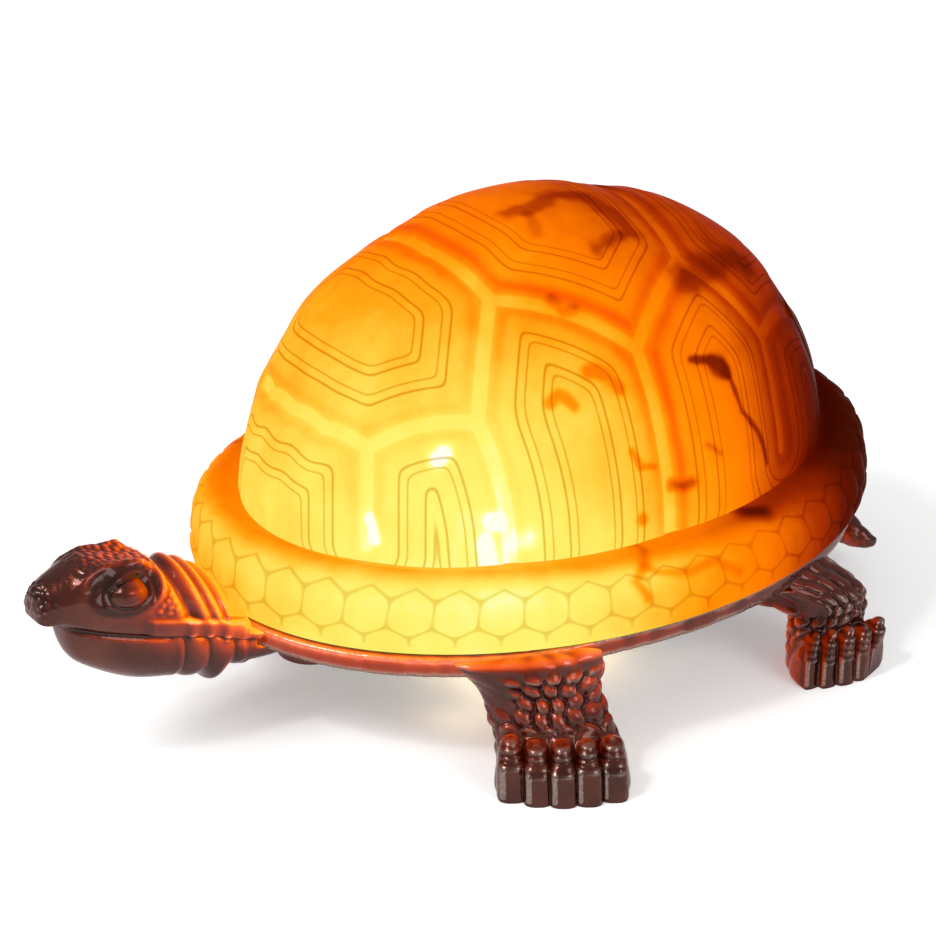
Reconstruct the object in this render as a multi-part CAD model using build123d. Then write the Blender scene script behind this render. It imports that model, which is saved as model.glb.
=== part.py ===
from build123d import *
import os
from math import cos, pi, radians, sin, sqrt

# Turtle night light: a cast turtle with a glass carapace that lifts off over a small bulb.
# All sizes are in millimetres. +Z is up, the head points along -Y and the turtle's left is +X.
# The pieces are drawn round the upright axis of the carapace and moved to the final origin last.

# Glass carapace
shell_half_length = 85.0
shell_half_width = 64.5
rim_mid_height = 32.5
rim_drop = 5.2
rim_foot_inset = 2.6
rim_foot_land = 6.0
crease_rise = 10.6
crease_inset = 12.3
dome_rise = 61.6
glass_wall = 4.0
channel_width = 3.6
channel_depth = 1.0

# Scute corners on the dome's left half, as shares of its half width and half length
zigzag_shares = [
    (0.49, -0.87), (0.41, -0.825), (0.67, -0.56), (0.41, -0.39), (0.75, 0.0),
    (0.49, 0.28), (0.67, 0.55), (0.40, 0.80), (0.48, 0.87),
]
costal_foot_shares = {2: (0.85, -0.53), 4: (1.0, -0.02), 6: (0.84, 0.54)}
# Corner of each border across the back, and how far along the body its middle lies
cross_middle_shares = {1: -0.90, 3: -0.42, 5: 0.31, 7: 0.87}

# Bumpers under the glass
bumper_thickness = 0.8
bumper_radius = 2.4
bumper_count = 6

# Cast tray
tray_inset = 1.2
tray_thickness = 4.8
upstand_clearance = 0.8
upstand_wall = 2.5
upstand_rise = 4.0
skirt_inset = 23.0
skirt_wall = 3.0
skirt_depth = 9.0
boss_radius = 4.5
boss_angles = [48.0, 132.0, 228.0, 312.0]
casting_gap = 0.4

# Machine screws: the large ones hold the castings, the small ones the base plate
large_screw_radius = 2.0
large_screw_length = 10.0
small_screw_radius = 1.5
small_screw_length = 8.0
screw_head_ratio_share = 1.9
screw_head_rise_share = 1.2
screw_play = 0.05
screw_hole_play = 0.3
hole_bottom_room = 1.0

# Head and neck, measured from the front edge of the tray
head_reach = 45.9
head_rise = 18.4
head_half_width = 11.0
head_half_height = 10.5
neck_glass_gap = 1.0
seam_front_height = 13.4
seam_root_height = 0.3
neck_screw_spacing = 16.0
# Rows: reach, rise, half width and half height of a section, each as a share of its head size
upper_head_shares = [
    (1.0, 0.98, 0.236, 0.229), (0.925, 0.943, 0.51, 0.505), (0.81, 0.90, 0.745, 0.724),
    (0.636, 0.79, 0.945, 0.962), (0.462, 0.655, 1.0, 1.0), (0.288, 0.503, 1.0, 0.924),
    (0.135, 0.329, 1.07, 0.80), (0.005, 0.15, 1.20, 0.59), (-0.126, 0.04, 1.30, 0.40),
]
lower_head_shares = [
    (0.876, 0.66, 0.27, 0.267), (0.745, 0.476, 0.69, 0.686), (0.57, 0.329, 0.855, 0.82),
    (0.397, 0.182, 0.90, 0.78), (0.222, 0.052, 0.94, 0.724), (0.048, -0.057, 1.03, 0.724),
    (-0.126, -0.122, 1.09, 0.667), (-0.30, -0.204, 1.045, 0.571), (-0.475, -0.258, 0.955, 0.476),
]
# Rows: reach, rise, then half width, thickness and half height of a raised fold
neck_fold_shares = [
    (0.302, 0.47, 1.06, 0.17, 0.99), (0.212, 0.41, 1.10, 0.15, 0.93), (0.128, 0.31, 1.16, 0.15, 0.88),
]
throat_fold_shares = [
    (0.132, -0.06, 0.92, 0.22, 0.82), (-0.004, -0.10, 1.0, 0.24, 0.78), (-0.145, -0.14, 0.98, 0.2, 0.72),
]
brow_place_shares = (0.594, 1.215, 0.455)
brow_size_shares = (0.20, 0.16, 0.26)
eye_place_shares = (0.612, 1.06, 0.72)
eye_size_shares = (0.27, 0.099, 0.40)

# Legs, each with the values of its hip, foot and toes
leg_half_width = 13.0
leg_half_depth = 9.0
hip_inset = 6.5
lug_width = 16.0
lug_thickness = 7.0
front_hip_angle = -29.0
rear_hip_angle = 27.0
front_foot_out = 11.0
front_foot_back = -0.5
rear_foot_out = 7.0
rear_foot_back = 6.0
front_foot_facing = -34.0
rear_foot_facing = -12.0
front_foot_scale_share = 1.0
rear_foot_scale_share = 0.82
toe_count = 5
toe_pitch = 5.4
toe_half_width = 3.2
toe_half_depth = 5.2
toe_height = 11.5
toe_reach = 7.6
toe_arc = 0.55
# Rows: height, lean from hip to foot, depth and width of a leg section
leg_section_shares = [
    (1.0, 0.0, 1.05, 1.0), (0.78, 0.12, 1.0, 0.98), (0.55, 0.45, 0.84, 0.92),
    (0.30, 0.85, 0.95, 0.97), (0.0, 1.0, 1.08, 1.03),
]
foot_lift = 0.4
pad_radius = 6.5
pad_thickness = 1.6
pad_play = 0.3

# Tail: places as shares of the tail's own spread, drop and sideways curl
tail_reach = 8.0
tail_curl = 29.5
tail_tip_height = 6.0
tail_root_radius = 6.5
# Rows: reach, curl, height above the tip, and radius
tail_section_shares = [
    (0.20, 0.02, 0.92, 1.0), (0.10, 0.30, 0.66, 0.90), (0.05, 0.60, 0.36, 0.72),
    (0.18, 0.84, 0.14, 0.50), (0.62, 1.0, 0.0, 0.16),
]

# Slotted plate under the tray
plate_thickness = 1.5
vent_width = 4.0
vent_length = 34.0
vent_pitch = 9.0
vent_count = 7
vent_centre = -15.0

# Socket and the bracket that holds it; the lamp axis runs along the body
lamp_height = 31.0
socket_floor_back = 16.0
socket_radius = 11.0
socket_front = 20.0
socket_back = 14.0
socket_floor = 3.0
socket_pocket_radius = 7.2
terminal_hole_play = 0.2
bracket_thickness = 1.5
bracket_width = 20.0
bracket_foot_length = 24.0
bracket_head_room = 8.0
rivet_radius = 1.6
rivet_head_radius = 3.0
rivet_head_rise = 1.2
rivet_spacing = 11.0
nipple_radius = 4.9
nipple_bore = 3.5
nipple_length = 16.0
nipple_grip = 8.0
thread_play = 0.05
nut_across_flats = 14.0
nut_thickness = 3.0

# Screw shell and spring contact of the socket
screw_shell_radius = 5.95
screw_shell_wall = 0.6
screw_shell_length = 19.0
contact_width = 4.0
contact_strip = 0.4
contact_rise = 1.5
contact_half_span = 4.4
contact_play = 0.05

# Night-light bulb with a candelabra cap
cap_play = 0.08
cap_wall = 0.4
cap_length = 13.5
tip_radius = 1.9
tip_rise = 1.1
insulator_rise = 2.0
insulator_plug = 1.5
insulator_play = 0.17
bulb_length = 54.0
bulb_radius = 11.0
bulb_wall = 0.8
bulb_neck_play = 0.45
bulb_neck_grip = 6.5
bulb_belly_share = 0.42
stem_disc = 0.8
stem_radius = 1.8
stem_length = 14.0
filament_wire = 0.25
filament_spread = 4.5
filament_rise = 9.0
filament_foot = 0.9

# Cord bush in the base plate, and the leads up to the socket
grommet_wall_room = 13.0
grommet_radius = 6.5
grommet_neck_radius = 4.1
grommet_bore = 3.0
grommet_lip = 1.8
lead_radius = 0.9
lead_spacing = 4.8
lead_drop_back = 12.0
connector_radius = 3.5
connector_length = 14.0
connector_spacing = 28.0
connector_bore_depth = 5.0
connector_setback = 7.0
connector_play = 0.1
lead_bend_share = 0.45

overrun = 2.0

# Heights and places that follow from the sizes above
glass_foot = rim_mid_height - rim_drop
crease_height = rim_mid_height + crease_rise
tray_top = glass_foot - bumper_thickness
tray_bottom = tray_top - tray_thickness
tray_middle = (tray_top + tray_bottom) / 2
skirt_bottom = tray_bottom - skirt_depth
plate_bottom = skirt_bottom - plate_thickness
tray_front = shell_half_length - tray_inset
snout_reach = tray_front + head_reach
body_back_shift = (snout_reach - shell_half_length) / 2
dome_half_width = shell_half_width - crease_inset
dome_half_length = shell_half_length - crease_inset
upstand_inset = rim_foot_inset + rim_foot_land + upstand_clearance
upstand_inner_inset = upstand_inset + upstand_wall
screw_inset = (upstand_inner_inset + skirt_inset) / 2
skirt_inner_inset = skirt_inset + skirt_wall
grommet_back = shell_half_length - skirt_inner_inset - grommet_wall_room
cutter_size = 2 * (snout_reach + dome_rise)


def oval(inset, height):
    """Oval face parallel to the widest line of the glass, set in from it."""
    return Pos(0, 0, height) * Ellipse(shell_half_width - inset, shell_half_length - inset)


def oval_block(inset, low, high):
    return extrude(oval(inset, low), high - low)


def oval_point(inset, angle):
    """Point on an inset oval; angle 0 is the turtle's left and 90 its rear."""
    across = (shell_half_width - inset) * cos(radians(angle))
    along = (shell_half_length - inset) * sin(radians(angle))
    return across, along


def ellipsoid(across, along, upward):
    return scale(Sphere(1), by=(across, along, upward))


def upright_rod(radius, low, high):
    return Pos(0, 0, low) * extrude(Circle(radius), high - low)


def spun(points):
    """Solid of revolution about Z through (radius, height) points."""
    outline = make_face(Polyline(*points, close=True))
    return revolve(Plane.XZ * outline, Axis.Z)


def mirrored(solid):
    return mirror(solid, about=Plane.YZ)


def glass_carapace():
    """Half ellipsoid on a bulging rim, hollow inside, with sunk channels between its scutes."""
    rim_steps = [-90, -60, -30, 0, 30, 60, 90]
    rings = []
    for step in rim_steps:
        swing = radians(step)
        inset = (crease_inset if step > 0 else rim_foot_inset) * (1 - cos(swing))
        rise = (crease_rise if step > 0 else rim_drop) * sin(swing)
        rings.append(oval(inset, rim_mid_height + rise))
    rim = loft(rings)
    dome = Pos(0, 0, crease_height) * ellipsoid(dome_half_width, dome_half_length, dome_rise)
    below_crease = oval_block(-overrun, crease_height - dome_rise - overrun, crease_height)
    upper_dome = dome - below_crease
    core = Pos(0, 0, crease_height) * ellipsoid(
        dome_half_width - channel_depth, dome_half_length - channel_depth, dome_rise - channel_depth)
    upper_dome -= scute_channels() - core
    hollow = Pos(0, 0, crease_height) * ellipsoid(
        dome_half_width - glass_wall, dome_half_length - glass_wall, dome_rise - glass_wall)
    hollow -= oval_block(-overrun, crease_height - dome_rise - overrun, crease_height - glass_wall)
    mouth = oval_block(rim_foot_inset + rim_foot_land, glass_foot, crease_height - glass_wall)
    return rim + upper_dome - (hollow + mouth)


def scute_channels():
    """Upright strips along the borders of the scutes, through the whole dome."""
    left = [(across * dome_half_width, along * dome_half_length) for across, along in zigzag_shares]
    borders = []
    for side in (1, -1):
        corners = [(side * across, along) for across, along in left]
        borders += list(zip(corners[:-1], corners[1:]))
        for corner, (across, along) in costal_foot_shares.items():
            foot = (side * across * dome_half_width, along * dome_half_length)
            borders.append((corners[corner], foot))
    for corner, middle_share in cross_middle_shares.items():
        across, along = left[corner]
        middle = (0, middle_share * dome_half_length)
        borders += [((across, along), middle), (middle, (-across, along))]
    strips = Sketch()
    for start, end in borders:
        line = Line(start, end)
        middle = line @ 0.5
        turn = line.tangent_angle_at(0)
        strips += Pos(middle.X, middle.Y) * Rot(0, 0, turn) * SlotCenterToCenter(line.length, channel_width)
    return extrude(Pos(0, 0, crease_height) * strips, dome_rise + overrun)


def glass_bumpers():
    inset = rim_foot_inset + rim_foot_land / 2
    places = [oval_point(inset, 360 * (index + 0.5) / bumper_count) for index in range(bumper_count)]
    return [Pos(across, along) * upright_rod(bumper_radius, tray_top, glass_foot) for across, along in places]


def screw(radius, length):
    """Pan-head screw standing on its seat: the head is above Z zero and the shank below."""
    head = upright_rod(radius * screw_head_ratio_share, 0, radius * screw_head_rise_share)
    return head + upright_rod(radius, -length, 0)


leg_angles = [front_hip_angle, rear_hip_angle]
leg_screw_places = [oval_point(screw_inset, angle) for angle in leg_angles]
leg_screw_places += [(-across, along) for across, along in leg_screw_places]
neck_screw_along = -(shell_half_length - screw_inset) * sqrt(
    1 - (neck_screw_spacing / 2 / (shell_half_width - screw_inset)) ** 2)
neck_screw_places = [(side * neck_screw_spacing / 2, neck_screw_along) for side in (1, -1)]
tail_screw_places = [oval_point(screw_inset, 90)]
boss_places = [oval_point(skirt_inner_inset + boss_radius / 2, angle) for angle in boss_angles]
large_screw_places = leg_screw_places + neck_screw_places + tail_screw_places


def tray():
    """Oval cast tray: flange, upstand that centres the glass, and a skirt for the base plate."""
    casting = oval_block(tray_inset, tray_bottom, tray_top)
    casting += oval_block(upstand_inset, tray_bottom, tray_top + upstand_rise)
    casting -= oval_block(upstand_inner_inset, tray_top, tray_top + upstand_rise)
    casting += oval_block(skirt_inset, skirt_bottom, tray_bottom)
    casting -= oval_block(skirt_inner_inset, skirt_bottom, tray_top)
    for across, along in boss_places:
        boss = Pos(across, along) * upright_rod(boss_radius, skirt_bottom, tray_bottom)
        casting += boss & oval_block(skirt_inset + skirt_wall / 2, skirt_bottom, tray_bottom)
        depth = small_screw_length - plate_thickness + hole_bottom_room
        casting -= Pos(across, along) * upright_rod(
            small_screw_radius + screw_play, skirt_bottom, skirt_bottom + depth)
    for across, along in large_screw_places:
        casting -= Pos(across, along) * upright_rod(
            large_screw_radius + screw_hole_play, tray_bottom, tray_top)
    return casting


def tapped_hole(place):
    """Blind hole under the tray for the end of one large screw."""
    across, along = place
    bottom = tray_top - large_screw_length - hole_bottom_room
    return Pos(across, along) * upright_rod(large_screw_radius + screw_play, bottom, tray_bottom)


def clear_of_tray(solid):
    """Cut a casting back to the underside and edge of the tray and to its skirt."""
    solid -= oval_block(tray_inset, tray_bottom, tray_top)
    solid -= oval_block(skirt_inset - casting_gap, 0, tray_bottom)
    return solid - oval_block(-neck_glass_gap, tray_top, tray_top + dome_rise)


def lug(screw_place, root_place):
    """Flat lug below the tray, from a screw out to the root of a casting."""
    line = Line(screw_place, root_place)
    middle = line @ 0.5
    outline = SlotCenterToCenter(line.length, lug_width)
    flat = Pos(middle.X, middle.Y, tray_bottom - lug_thickness) * Rot(0, 0, line.tangent_angle_at(0)) * outline
    return extrude(flat, lug_thickness)


def leg_frame(hip_angle, foot_out, foot_back):
    """Hip on the tray's edge, and the middle of the foot."""
    hip = oval_point(hip_inset, hip_angle)
    return hip, (hip[0] + foot_out, hip[1] + foot_back)


front_hip, front_foot = leg_frame(front_hip_angle, front_foot_out, front_foot_back)
rear_hip, rear_foot = leg_frame(rear_hip_angle, rear_foot_out, rear_foot_back)


def leg(hip, foot, facing, size_share, screw_place):
    """Left leg: a leaning column that flares out of the tray into a foot with toes."""
    turn = Rot(0, 0, facing)
    rings = []
    for height, lean, depth, width in leg_section_shares:
        across = hip[0] + lean * (foot[0] - hip[0])
        along = hip[1] + lean * (foot[1] - hip[1])
        level = foot_lift + height * (tray_top - foot_lift)
        shape = Ellipse(leg_half_depth * depth * size_share, leg_half_width * width * size_share)
        rings.append(Pos(across, along, level) * turn * shape)
    casting = loft(rings) + lug(screw_place, hip)
    for index in range(toe_count):
        step = index - (toe_count - 1) / 2
        toe = ellipsoid(toe_half_depth, toe_half_width, toe_height)
        outward = (toe_reach - toe_arc * step ** 2) * size_share
        local = Pos(outward, step * toe_pitch * size_share, 0)
        casting += Pos(foot[0], foot[1], foot_lift) * turn * local * toe
    casting -= extrude(Pos(0, 0, foot_lift) * Rectangle(cutter_size, cutter_size), -cutter_size)
    casting -= Pos(foot[0], foot[1]) * upright_rod(pad_radius + pad_play, foot_lift, pad_thickness)
    return clear_of_tray(casting) - tapped_hole(screw_place)


def head_place(reach, rise, across=0.0):
    return across * head_half_width, -(tray_front + reach * head_reach), tray_middle + rise * head_rise


def head_loft(rows):
    rings = []
    for reach, rise, width, height in rows:
        section = Plane(origin=head_place(reach, rise), x_dir=(1, 0, 0), z_dir=(0, -1, 0))
        rings.append(section * Ellipse(width * head_half_width, height * head_half_height))
    return loft(rings)


def head_folds(rows):
    folds = []
    for reach, rise, width, thickness, height in rows:
        size = (width * head_half_width, thickness * head_half_width, height * head_half_height)
        folds.append(Pos(*head_place(reach, rise)) * ellipsoid(*size))
    return folds


def above_seam():
    """Block above the plane of the mouth, which runs down along the neck to the tray."""
    seam_run = head_reach
    front = (-(tray_front + seam_run), tray_middle + seam_front_height)
    root = (-tray_front, tray_middle + seam_root_height)
    slope = (front[1] - root[1]) / (front[0] - root[0])
    far_front = (front[0] - cutter_size, front[1] - slope * cutter_size)
    far_back = (root[0] + cutter_size, root[1] + slope * cutter_size)
    top = far_front[1] + cutter_size
    outline = make_face(Polyline(far_front, far_back, (far_back[0], top), (far_front[0], top), close=True))
    return extrude(Plane.YZ * outline, cutter_size, both=True)


def head():
    """Head and neck: an overhanging upper half, a smaller jaw below the mouth, eyes, brows, folds."""
    upper = head_loft(upper_head_shares) & above_seam()
    upper -= oval_block(tray_inset, 0, tray_top)
    forms = [head_loft(lower_head_shares)]
    forms += head_folds(neck_fold_shares + throat_fold_shares)
    for (reach, rise, across), size in (
        (brow_place_shares, brow_size_shares), (eye_place_shares, eye_size_shares),
    ):
        wide, long, high = size
        bump = ellipsoid(wide * head_half_width, long * head_reach, high * head_half_height)
        forms += [Pos(*head_place(reach, rise, side * across)) * bump for side in (1, -1)]
    for across, along in neck_screw_places:
        forms.append(Pos(across, along) * upright_rod(lug_width / 2, tray_bottom - lug_thickness, tray_bottom))
    casting = clear_of_tray(upper + forms)
    for place in neck_screw_places:
        casting -= tapped_hole(place)
    return casting


def tail():
    """Tail that droops from the rear of the tray and curls to the turtle's left."""
    screw_place = tail_screw_places[0]
    root_along = screw_place[1] + tail_reach
    root_height = tray_bottom - lug_thickness / 2
    places = []
    for reach, curl, height, _ in tail_section_shares:
        level = tail_tip_height + height * (root_height - tail_tip_height)
        places.append(Vector(curl * tail_curl, root_along + reach * tail_reach, level))
    rings = []
    for index, place in enumerate(places):
        ahead = places[min(index + 1, len(places) - 1)]
        behind = places[max(index - 1, 0)]
        section = Plane(origin=place, x_dir=(0, 0, 1), z_dir=ahead - behind)
        rings.append(section * Circle(tail_root_radius * tail_section_shares[index][3]))
    casting = loft(rings) + lug(screw_place, (0, root_along))
    return clear_of_tray(casting) - tapped_hole(screw_place)


def base_plate():
    plate = oval_block(skirt_inset, plate_bottom, skirt_bottom)
    for index in range(vent_count):
        across = (index - (vent_count - 1) / 2) * vent_pitch
        vent = Pos(across, vent_centre, plate_bottom) * Rot(0, 0, 90) * SlotOverall(vent_length, vent_width)
        plate -= extrude(vent, plate_thickness)
    for across, along in boss_places:
        plate -= Pos(across, along) * upright_rod(
            small_screw_radius + screw_hole_play, plate_bottom, skirt_bottom)
    for across, along in rivet_places:
        plate -= Pos(across, along) * upright_rod(rivet_radius + screw_play, plate_bottom, skirt_bottom)
    return plate - Pos(0, grommet_back) * upright_rod(
        grommet_neck_radius + screw_play, plate_bottom, skirt_bottom)


# The lamp axis: local Z runs forward out of the socket from the floor of its pocket
lamp_axis = Plane(origin=(0, socket_floor_back, lamp_height), x_dir=(1, 0, 0), z_dir=(0, -1, 0))
socket_rear = -socket_back
bracket_rear = socket_rear - bracket_thickness
bracket_back = socket_floor_back + socket_back + bracket_thickness
rivet_middle = bracket_back - bracket_foot_length / 2
rivet_places = [(0, rivet_middle + side * rivet_spacing / 2) for side in (1, -1)]


def bracket():
    """Bent strip: a foot on the base plate and an upright behind the socket."""
    foot_middle = bracket_back - bracket_foot_length / 2
    foot = extrude(
        Pos(0, foot_middle, skirt_bottom) * Rectangle(bracket_width, bracket_foot_length), bracket_thickness)
    upright_rise = lamp_height + bracket_head_room - skirt_bottom
    upright = extrude(
        Pos(0, bracket_back - bracket_thickness / 2, skirt_bottom)
        * Rectangle(bracket_width, bracket_thickness), upright_rise)
    strip = foot + upright
    for across, along in rivet_places:
        strip -= Pos(across, along) * upright_rod(
            rivet_radius + screw_play, skirt_bottom, skirt_bottom + bracket_thickness)
    return strip - lamp_axis * upright_rod(nipple_radius + screw_hole_play, bracket_rear, socket_rear)


def rivets():
    low = plate_bottom
    high = skirt_bottom + bracket_thickness
    rivet = upright_rod(rivet_radius, low, high)
    rivet += upright_rod(rivet_head_radius, high, high + rivet_head_rise)
    rivet += upright_rod(rivet_head_radius, low - rivet_head_rise, low)
    return [Pos(across, along) * rivet for across, along in rivet_places]


def nipple():
    low = socket_rear + nipple_grip - nipple_length
    tube = upright_rod(nipple_radius, low, socket_rear + nipple_grip)
    return lamp_axis * (tube - upright_rod(nipple_bore, low, socket_rear + nipple_grip))


def nipple_nut():
    hexagon = RegularPolygon(nut_across_flats / 2, 6, major_radius=False)
    nut = Pos(0, 0, bracket_rear - nut_thickness) * extrude(hexagon, nut_thickness)
    return lamp_axis * (nut - upright_rod(nipple_radius + thread_play, bracket_rear - nut_thickness, bracket_rear))


def socket_body():
    body = upright_rod(socket_radius, socket_rear, socket_front)
    body -= upright_rod(socket_pocket_radius, 0, socket_front)
    body -= upright_rod(nipple_radius + thread_play, socket_rear, -socket_floor)
    for side in (1, -1):
        body -= Pos(side * lead_spacing / 2, 0) * upright_rod(
            lead_radius + terminal_hole_play, -socket_floor, 0)
    return lamp_axis * body


def screw_shell():
    outer = screw_shell_radius + screw_shell_wall
    tube = upright_rod(outer, 0, screw_shell_length) - upright_rod(screw_shell_radius, 0, screw_shell_length)
    return lamp_axis * tube


def contact_spring():
    """Bent brass leaf on the floor of the pocket, with its crest on the lamp axis."""
    half = contact_half_span
    crest = contact_rise + contact_strip
    flat = contact_width / 4
    outline = make_face(Polyline(
        (-half, 0), (-flat - contact_strip, 0), (-flat, contact_rise), (flat, contact_rise),
        (half - contact_strip, contact_strip), (half, contact_strip), (flat, crest), (-flat, crest),
        (-flat - 2 * contact_strip, contact_strip), (-half, contact_strip), close=True))
    return lamp_axis * extrude(Plane.XZ * outline, contact_width / 2, both=True)


# Stations of the bulb along the lamp axis
tip_end = contact_rise + contact_strip + contact_play
insulator_start = tip_end + tip_rise
cap_start = insulator_start + insulator_rise
cap_end = cap_start + cap_length
bulb_end = tip_end + bulb_length
cap_radius = screw_shell_radius - cap_play
cap_bore = cap_radius - cap_wall
neck_start = cap_end - bulb_neck_grip
neck_radius = cap_bore - bulb_neck_play
belly_station = cap_end + bulb_belly_share * (bulb_end - cap_end)


def bulb_outline(shrink, start):
    """Half outline of the envelope: neck, belly and rounded end, drawn in by the wall."""
    neck = neck_radius - shrink
    belly = bulb_radius - shrink
    end = bulb_end - shrink
    side = Spline(
        (neck, cap_end), (belly, belly_station), (0, end),
        tangents=[(0, 1), (0, 1), (-1, 0)])
    lines = Polyline((0, end), (0, start), (neck, start), (neck, cap_end))
    return make_face(side + lines)


def bulb_glass():
    outer = revolve(Plane.XZ * bulb_outline(0, neck_start), Axis.Z)
    inner = revolve(Plane.XZ * bulb_outline(bulb_wall, neck_start), Axis.Z)
    return lamp_axis * (outer - inner)


def bulb_cap():
    tube = upright_rod(cap_radius, cap_start, cap_end) - upright_rod(cap_bore, cap_start, cap_end)
    return lamp_axis * tube


def bulb_insulator():
    plug = cap_bore - insulator_play
    shoulder = (cap_bore + cap_radius) / 2
    return lamp_axis * spun([
        (0, insulator_start), (tip_radius, insulator_start), (shoulder, cap_start - insulator_rise / 4),
        (shoulder, cap_start), (plug, cap_start), (plug, cap_start + insulator_plug),
        (0, cap_start + insulator_plug)])


def bulb_tip():
    button = ellipsoid(tip_radius, tip_radius, tip_rise)
    lower_half = upright_rod(tip_radius, -tip_rise, 0)
    return lamp_axis * (Pos(0, 0, insulator_start) * (button & lower_half))


stem_top = neck_start + stem_length


def bulb_stem():
    stem = upright_rod(neck_radius, neck_start - stem_disc, neck_start)
    return lamp_axis * (stem + upright_rod(stem_radius, neck_start, stem_top))


def bulb_filament():
    """Two support wires that spread from the stem, joined by the filament across their tips."""
    joint = Sphere(filament_wire)
    wires = Part()
    for side in (1, -1):
        foot = Vector(side * filament_foot, 0, stem_top)
        crown = Vector(side * filament_spread, 0, stem_top + filament_rise)
        run = Plane(origin=foot, z_dir=crown - foot)
        wires += run * upright_rod(filament_wire, 0, (crown - foot).length)
        wires += Pos(crown) * joint
    bar = Plane(origin=(-filament_spread, 0, stem_top + filament_rise), z_dir=(1, 0, 0))
    wires += bar * upright_rod(filament_wire, 0, 2 * filament_spread)
    wires -= upright_rod(stem_radius, stem_top - overrun, stem_top)
    return lamp_axis * wires


def grommet():
    lower_lip = plate_bottom - grommet_lip
    upper_lip = skirt_bottom + grommet_lip
    return Pos(0, grommet_back) * spun([
        (grommet_bore, lower_lip), (grommet_radius, lower_lip), (grommet_radius, plate_bottom),
        (grommet_neck_radius, plate_bottom), (grommet_neck_radius, skirt_bottom),
        (grommet_radius, skirt_bottom), (grommet_radius, upper_lip), (grommet_bore, upper_lip)])


connector_height = skirt_bottom + connector_radius
nipple_rear_along = socket_floor_back - socket_rear - nipple_grip + nipple_length
drop_along = nipple_rear_along + lead_drop_back
mouth_along = drop_along - connector_setback


def lead():
    """Lead on the turtle's left: out of the hollow nipple, down, and into its connector."""
    inner = Vector(lead_spacing / 2, socket_floor_back, lamp_height)
    top = Vector(lead_spacing / 2, drop_along, lamp_height)
    low = Vector(connector_spacing / 2, drop_along, connector_height)
    end = Vector(connector_spacing / 2, mouth_along - connector_bore_depth, connector_height)
    radii = []
    for before, corner, after in ((inner, top, low), (top, low, end)):
        turn = (corner - before).get_angle(after - corner)
        shorter = min((corner - before).length, (after - corner).length)
        radii.append(lead_bend_share * shorter * (1 + cos(radians(turn))) / sin(radians(turn)))
    print("lead bend radii", [round(radius, 2) for radius in radii])
    path = FilletPolyline(inner, top, low, end, radius=radii)
    section = Plane(origin=path @ 0, z_dir=path % 0) * Circle(lead_radius)
    wire = sweep(section, path=path)
    print("lead volume over section times length", round(wire.volume / (pi * lead_radius ** 2 * path.length), 4))
    return wire


def connectors():
    """Closed-end connectors that lie on the base plate, with their mouths to the rear."""
    bore = lead_radius + connector_play
    body_end = connector_length - connector_radius
    shape = upright_rod(connector_radius, 0, body_end)
    shape += Pos(0, 0, body_end) * Sphere(connector_radius)
    shape -= upright_rod(bore, 0, connector_bore_depth)
    solids = []
    for side in (1, -1):
        lie = Plane(
            origin=(side * connector_spacing / 2, mouth_along, connector_height),
            x_dir=(1, 0, 0), z_dir=(0, -1, 0))
        solids.append(lie * shape)
    return solids


def pad(foot):
    return Pos(foot[0], foot[1]) * upright_rod(pad_radius, 0, pad_thickness)


def screws_at(places, radius, length, seat):
    return [Pos(across, along, seat) * screw(radius, length) for across, along in places]


front_left_leg = leg(front_hip, front_foot, front_foot_facing, front_foot_scale_share, leg_screw_places[0])
rear_left_leg = leg(rear_hip, rear_foot, rear_foot_facing, rear_foot_scale_share, leg_screw_places[1])
left_lead = lead()
base_screw = Rot(180, 0, 0) * screw(small_screw_radius, small_screw_length)

nodes = {
    "glass_shell": glass_carapace(),
    "shell_bumpers": glass_bumpers(),
    "tray_casting": tray(),
    "head_casting": head(),
    "tail_casting": tail(),
    "front_left_leg": front_left_leg,
    "front_right_leg": mirrored(front_left_leg),
    "rear_left_leg": rear_left_leg,
    "rear_right_leg": mirrored(rear_left_leg),
    "front_left_pad": pad(front_foot),
    "front_right_pad": mirrored(pad(front_foot)),
    "rear_left_pad": pad(rear_foot),
    "rear_right_pad": mirrored(pad(rear_foot)),
    "leg_screws": screws_at(leg_screw_places, large_screw_radius, large_screw_length, tray_top),
    "neck_screws": screws_at(neck_screw_places, large_screw_radius, large_screw_length, tray_top),
    "tail_screw": screws_at(tail_screw_places, large_screw_radius, large_screw_length, tray_top),
    "base_plate": base_plate(),
    "base_screws": [Pos(across, along, plate_bottom) * base_screw for across, along in boss_places],
    "socket_bracket": bracket(),
    "bracket_rivets": rivets(),
    "hollow_nipple": nipple(),
    "nipple_nut": nipple_nut(),
    "socket_body": socket_body(),
    "socket_shell": screw_shell(),
    "contact_spring": contact_spring(),
    "bulb_tip": bulb_tip(),
    "bulb_insulator": bulb_insulator(),
    "bulb_cap": bulb_cap(),
    "bulb_glass": bulb_glass(),
    "bulb_stem": bulb_stem(),
    "bulb_filament": bulb_filament(),
    "cord_grommet": grommet(),
    "live_lead": left_lead,
    "neutral_lead": mirrored(left_lead),
    "wire_connectors": connectors(),
}

os.makedirs("parts", exist_ok=True)
to_origin = Pos(0, body_back_shift, 0)
for name, solid in nodes.items():
    group = Compound(children=solid) if isinstance(solid, list) else solid
    export_step(to_origin * group, f"parts/{name}.step")
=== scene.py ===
# %% [markdown]
# # A turtle night light, dressed in Blender
# The lamp is a cast bronze turtle that carries a pressed amber glass carapace over a small bulb.
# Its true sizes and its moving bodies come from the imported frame, which is loaded first and never
# changed. Each later step makes one piece or one finish and says why it is made that way.

# %% Load the frame
import math

import bmesh
import bpy
import numpy as np
from mathutils import Matrix, Vector
from mathutils.kdtree import KDTree


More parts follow.
